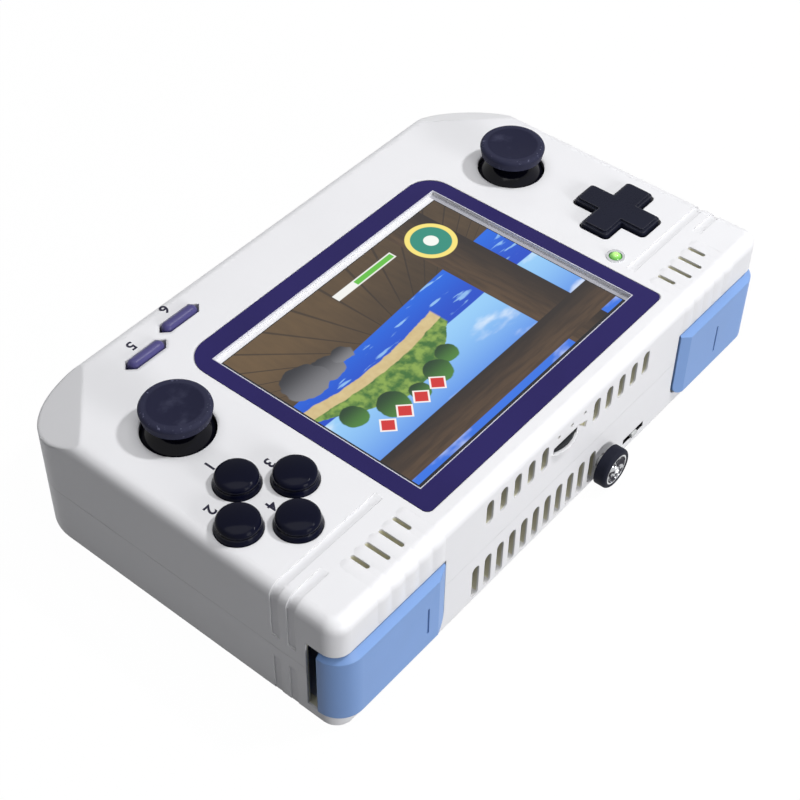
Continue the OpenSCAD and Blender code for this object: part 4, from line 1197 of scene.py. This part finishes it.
@dataclass
class Case(SubAssembly):
    """The two shells, their screws and the marks printed on the front.

    Attributes:
        ink: Thickness of the printed ink.
        mark_size: Height of a printed number.
        body: Size of the type for a number of height 1.
        swell: How far the ink spreads round each stroke.
        marks: Numbers with their X and Y.
    """

    ink: float = 0.02
    mark_size: float = 2.6
    body: float = 1.4
    swell: float = 0.08
    marks: tuple[tuple[str, float, float], ...] = (
        ("1", 59.0, -7.5),
        ("2", 67.1, 0.5),
        ("3", 50.8, 0.9),
        ("4", 58.7, 8.8),
        ("5", 45.1, -43.9),
        ("6", 32.5, -46.7),
    )

    def dress(self) -> None:
        """Dress the shells and the screws."""
        self.coat(WHITE_SHELL, "front_shell", "rear_shell")
        self.coat(SCREW_STEEL, "case_screws", "board_screws")

    def build(self) -> None:
        """Print the numbers beside the buttons."""
        for text, east, north in self.marks:
            self.print_mark(text, east, north)

    def print_mark(self, text: str, east: float, north: float) -> None:
        """Print one number on the front shell.

        Args:
            text: The number.
            east: X of its middle.
            north: Y of its middle.
        """
        digit = bpy.data.curves.new("mark_line_" + text, "FONT")
        digit.body = text
        digit.size = self.mark_size * self.body * MM
        digit.align_x = "CENTER"
        digit.align_y = "CENTER"
        digit.extrude = self.ink / 2 * MM
        digit.offset = self.swell * MM
        drawn = add_object("mark_drawn_" + text, digit)
        seen = drawn.evaluated_get(bpy.context.evaluated_depsgraph_get())
        mesh = bpy.data.meshes.new_from_object(seen)
        bpy.data.objects.remove(drawn)
        mesh.transform(Matrix.Translation(Vector((east, north, FRONT + self.ink / 2)) * MM))
        mesh.materials.clear()
        mesh.materials.append(self.paints.get(MARK_INK))
        piece = add_object("printed_mark_" + text, mesh)
        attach(piece, "case")
        LOG.info("%s: printed", piece.name)


@dataclass
class Display(SubAssembly):
    """The bezel, the lit panel and its driver board.

    Attributes:
        picture_width: Width of the lit picture.
        picture_height: Height of the lit picture.
    """

    picture_width: float = 71.12
    picture_height: float = 53.34

    def dress(self) -> None:
        """Dress the bezel, the panel and the board."""
        self.coat(PURPLE_PLATE, "screen_bezel")
        picture = ScreenPicture("lit_picture", self.picture_width, self.picture_height)
        self.coat(picture, "screen_panel")
        self.coat(GREEN_BOARD, "screen_driver_board")


@dataclass
class ThumbStick(SubAssembly):
    """One thumbstick: housing, gimbal, post with dome, and cap.

    Attributes:
        hand: The side of the case it is on.
    """

    hand: Hand = Hand.LEFT

    def dress(self) -> None:
        """Dress the stick's four pieces."""
        side = self.hand.value
        self.coat(INNER_BLACK, f"{side}_stick_housing")
        self.coat(INNER_GREY, f"{side}_stick_gimbal")
        self.coat(DOME_BLACK, f"{side}_stick_post")
        self.coat(STICK_RUBBER, f"{side}_stick_cap")


@dataclass
class Buttons(SubAssembly):
    """The direction pad, the face buttons, the menu buttons and what lies under them."""

    def dress(self) -> None:
        """Dress the buttons and their membranes."""
        self.coat(SATIN_BLACK, "direction_pad")
        self.coat(INNER_GREY, "pad_pivot_ball")
        self.coat(GLOSS_BLACK, *(f"face_button_{number}" for number in range(1, 5)))
        self.coat(LILAC_KEY, "start_button", "select_button")
        self.coat(CLEAR_SILICONE, "pad_membrane", "face_membrane", "menu_membrane")
        self.coat(GREEN_BOARD, "left_button_board", "right_button_board")


@dataclass
class PowerLight(SubAssembly):
    """The green light and its bright ring.

    Attributes:
        centre: X and Y of its axis.
        radius: Radius of the lens.
    """

    centre: Pair = (-45.0, 17.9)
    radius: float = 1.5

    def dress(self) -> None:
        """Dress the lens and the ring."""
        rim, core = paint(70, 150, 44), paint(176, 240, 120)
        lens = LitLens("green_lens", rim, core, self.centre, self.radius)
        self.coat(lens, "power_light")
        self.coat(MIRROR_TRIM, "power_light_ring")


@dataclass
class Triggers(SubAssembly):
    """The two shoulder triggers, their pins and switches."""

    def dress(self) -> None:
        """Dress the triggers and what carries them."""
        self.coat(BLUE_TRIGGER, "left_trigger", "right_trigger")
        self.coat(SCREW_STEEL, "trigger_pins")
        self.coat(INNER_BLACK, "left_trigger_switch", "right_trigger_switch")


@dataclass
class EdgeControls(SubAssembly):
    """The thumbwheel, the knob and the slide switch on the upper wall."""

    def dress(self) -> None:
        """Dress the controls and their bodies."""
        self.coat(WHEEL_RUBBER, "volume_wheel")
        self.coat(KNOB_RUBBER, "knob_rim")
        self.coat(DISHED_TRIM, "knob_face")
        self.coat(SCREW_STEEL, "knob_shaft")
        self.coat(INNER_BLACK, "volume_wheel_pot", "power_switch_body")
        self.coat(INNER_GREY, "knob_pot")
        self.coat(PALE_NUB, "power_slider")


@dataclass
class Electronics(SubAssembly):
    """The boards, the cooling, the power and the sound inside the case."""

    def dress(self) -> None:
        """Dress what shows through the vents and what is hidden."""
        self.coat(GREEN_BOARD, "main_board")
        self.coat(INNER_BLACK, "processor", "blower_rotor")
        self.coat(SPEAKER_CLOTH, "left_speaker", "right_speaker")
        self.coat(SINK_METAL, "heat_sink")
        self.coat(BLOWER_KHAKI, "blower_housing")
        self.coat(BATTERY_WRAP, "left_battery", "right_battery")
        self.coat(SCREW_STEEL, "charge_socket")


@dataclass
class SoftBox:
    """One soft lamp.

    Attributes:
        name: The lamp's name.
        place: Where it hangs.
        aim: The point it looks at.
        side: Side of its square face.
        power: Its power in watts.
    """

    name: str
    place: Triple
    aim: Triple
    side: float
    power: float

    def build(self) -> None:
        """Hang the lamp."""
        lamp = bpy.data.lights.new(self.name, "AREA")
        lamp.shape = "SQUARE"
        lamp.size = self.side * MM
        lamp.energy = self.power
        piece = add_object(self.name, lamp)
        piece.location = Vector(self.place) * MM
        course = Vector(self.aim) - Vector(self.place)
        piece.rotation_euler = course.to_track_quat("-Z", "Y").to_euler()


@dataclass
class Studio:
    """The floor, the light and the camera.

    Attributes:
        eye: The camera's place.
        back: Direction from the subject to the camera.
        roll: Turn of the camera about its own axis, in degrees.
        lens: Focal length.
        sensor: Width of the sensor.
        near: Least distance that the camera sees.
        floor_half: Half the side of the floor.
        floor_gap: Depth of the floor under the console.
        floor_tone: Linear colour of the floor as light meets it.
        floor_glow: Brightness of the floor to the eye.
        floor_share: Share of that brightness, the rest keeps the shadow.
        air: Linear colour of the world's light.
        ambient: Strength of the world's light on the object.
        boxes: The soft lamps.
    """

    eye: Triple = (207.674, 160.451, 277.957)
    back: Triple = (0.54373, 0.43872, 0.71546)
    roll: float = 0.931
    lens: float = 75.54
    sensor: float = 36.0
    near: float = 10.0
    floor_half: float = 3000.0
    floor_gap: float = 0.05
    floor_tone: Colour = (0.22, 0.22, 0.23)
    floor_glow: float = 1.09
    floor_share: float = 0.9
    air: Colour = (0.96, 0.98, 1.0)
    ambient: float = 0.06
    boxes: Sequence[SoftBox] = field(
        default_factory=lambda: (
            SoftBox("key_box", place=(-351, 320, 762), aim=(0, 0, 20), side=70, power=3.4),
            SoftBox("sky_box", place=(10, -10, 950), aim=(0, 0, 20), side=760, power=4.3),
            SoftBox("edge_box", place=(70, 800, 230), aim=(0, 30, 15), side=250, power=3.6),
        )
    )

    def build(self) -> None:
        """Set up the floor, the world, the lamps and the camera."""
        self.lay_floor()
        self.light_world()
        for box in self.boxes:
            box.build()
        self.place_camera()

    def lay_floor(self) -> None:
        """Lay the plain pale floor that the console lies on."""
        mesh = bpy.data.meshes.new("floor")
        half = self.floor_half * MM
        shape = bmesh.new()
        bmesh.ops.create_grid(shape, x_segments=1, y_segments=1, size=half)
        shape.to_mesh(mesh)
        shape.free()
        mesh.materials.append(self.floor_material())
        floor = add_object("floor", mesh)
        floor.location = (0, 0, -self.floor_gap * MM)

    def floor_material(self) -> bpy.types.Material:
        """Make the floor's pale matt finish, which looks white and keeps the shadow.

        Returns:
            The material.
        """
        tree = Tree("pale_floor")
        matt = tree.node("ShaderNodeBsdfDiffuse", None, {"Color": self.floor_tone})
        glow: Sockets = {"Color": (1.0, 1.0, 1.0), "Strength": self.floor_glow}
        bright = tree.node("ShaderNodeEmission", None, glow)
        seen = self.seen(tree) * self.floor_share
        return tree.close(tree.node("ShaderNodeMixShader", None, {0: seen, 1: matt, 2: bright}))

    def seen(self, tree: Tree) -> Value:
        """Return 1 for rays of the camera, of mirrors and of glass.

        Args:
            tree: The tree that asks.

        Returns:
            The mask.
        """
        names = ("Is Camera Ray", "Is Glossy Ray", "Is Transmission Ray")
        rays = [tree.node("ShaderNodeLightPath", output=name) for name in names]
        return rays[0].most(rays[1]).most(rays[2])

    def light_world(self) -> None:
        """Make the world white to the eye and mild on the object."""
        world = bpy.data.worlds.new("studio_world")
        bpy.context.scene.world = world
        tree = Tree(world)
        mild: Sockets = {"Color": self.air, "Strength": self.ambient}
        soft = tree.node("ShaderNodeBackground", None, mild)
        full: Sockets = {"Color": (1.0, 1.0, 1.0), "Strength": 1.0}
        white = tree.node("ShaderNodeBackground", None, full)
        both = tree.node("ShaderNodeMixShader", None, {0: self.seen(tree), 1: soft, 2: white})
        tree.node("ShaderNodeOutputWorld", None, {"Surface": both})

    def place_camera(self) -> None:
        """Set the camera at the photograph's place and angle."""
        camera = bpy.data.cameras.new("camera")
        camera.lens = self.lens
        camera.sensor_width = self.sensor
        camera.clip_start = self.near * MM
        back = Vector(self.back).normalized()
        level = Vector((0, 0, 1)).cross(back).normalized()
        turn = math.radians(self.roll)
        right = level * math.cos(turn) + back.cross(level) * math.sin(turn)
        up = back.cross(right)
        pose = Matrix((right, up, back)).transposed().to_4x4()
        pose.translation = Vector(self.eye) * MM
        piece = add_object("camera", camera)
        piece.matrix_world = pose
        bpy.context.scene.camera = piece


def clear_scene() -> None:
    """Remove the start-up objects."""
    for piece in list(bpy.data.objects):
        bpy.data.objects.remove(piece)


def main() -> None:
    """Build the studio and dress every sub-assembly."""
    logging.basicConfig(level=logging.INFO, format="%(name)s %(message)s")
    clear_scene()
    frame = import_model()
    bpy.context.scene.view_settings.view_transform = "Standard"
    Studio().build()
    nodes, paints = frame["nodes"], Paints()
    groups: list[SubAssembly] = [
        Case(nodes, paints),
        Display(nodes, paints),
        ThumbStick(nodes, paints, Hand.LEFT),
        ThumbStick(nodes, paints, Hand.RIGHT),
        Buttons(nodes, paints),
        PowerLight(nodes, paints),
        Triggers(nodes, paints),
        EdgeControls(nodes, paints),
        Electronics(nodes, paints),
    ]
    for group in groups:
        group.build()
        group.dress()


if __name__ == "__main__":
    main()
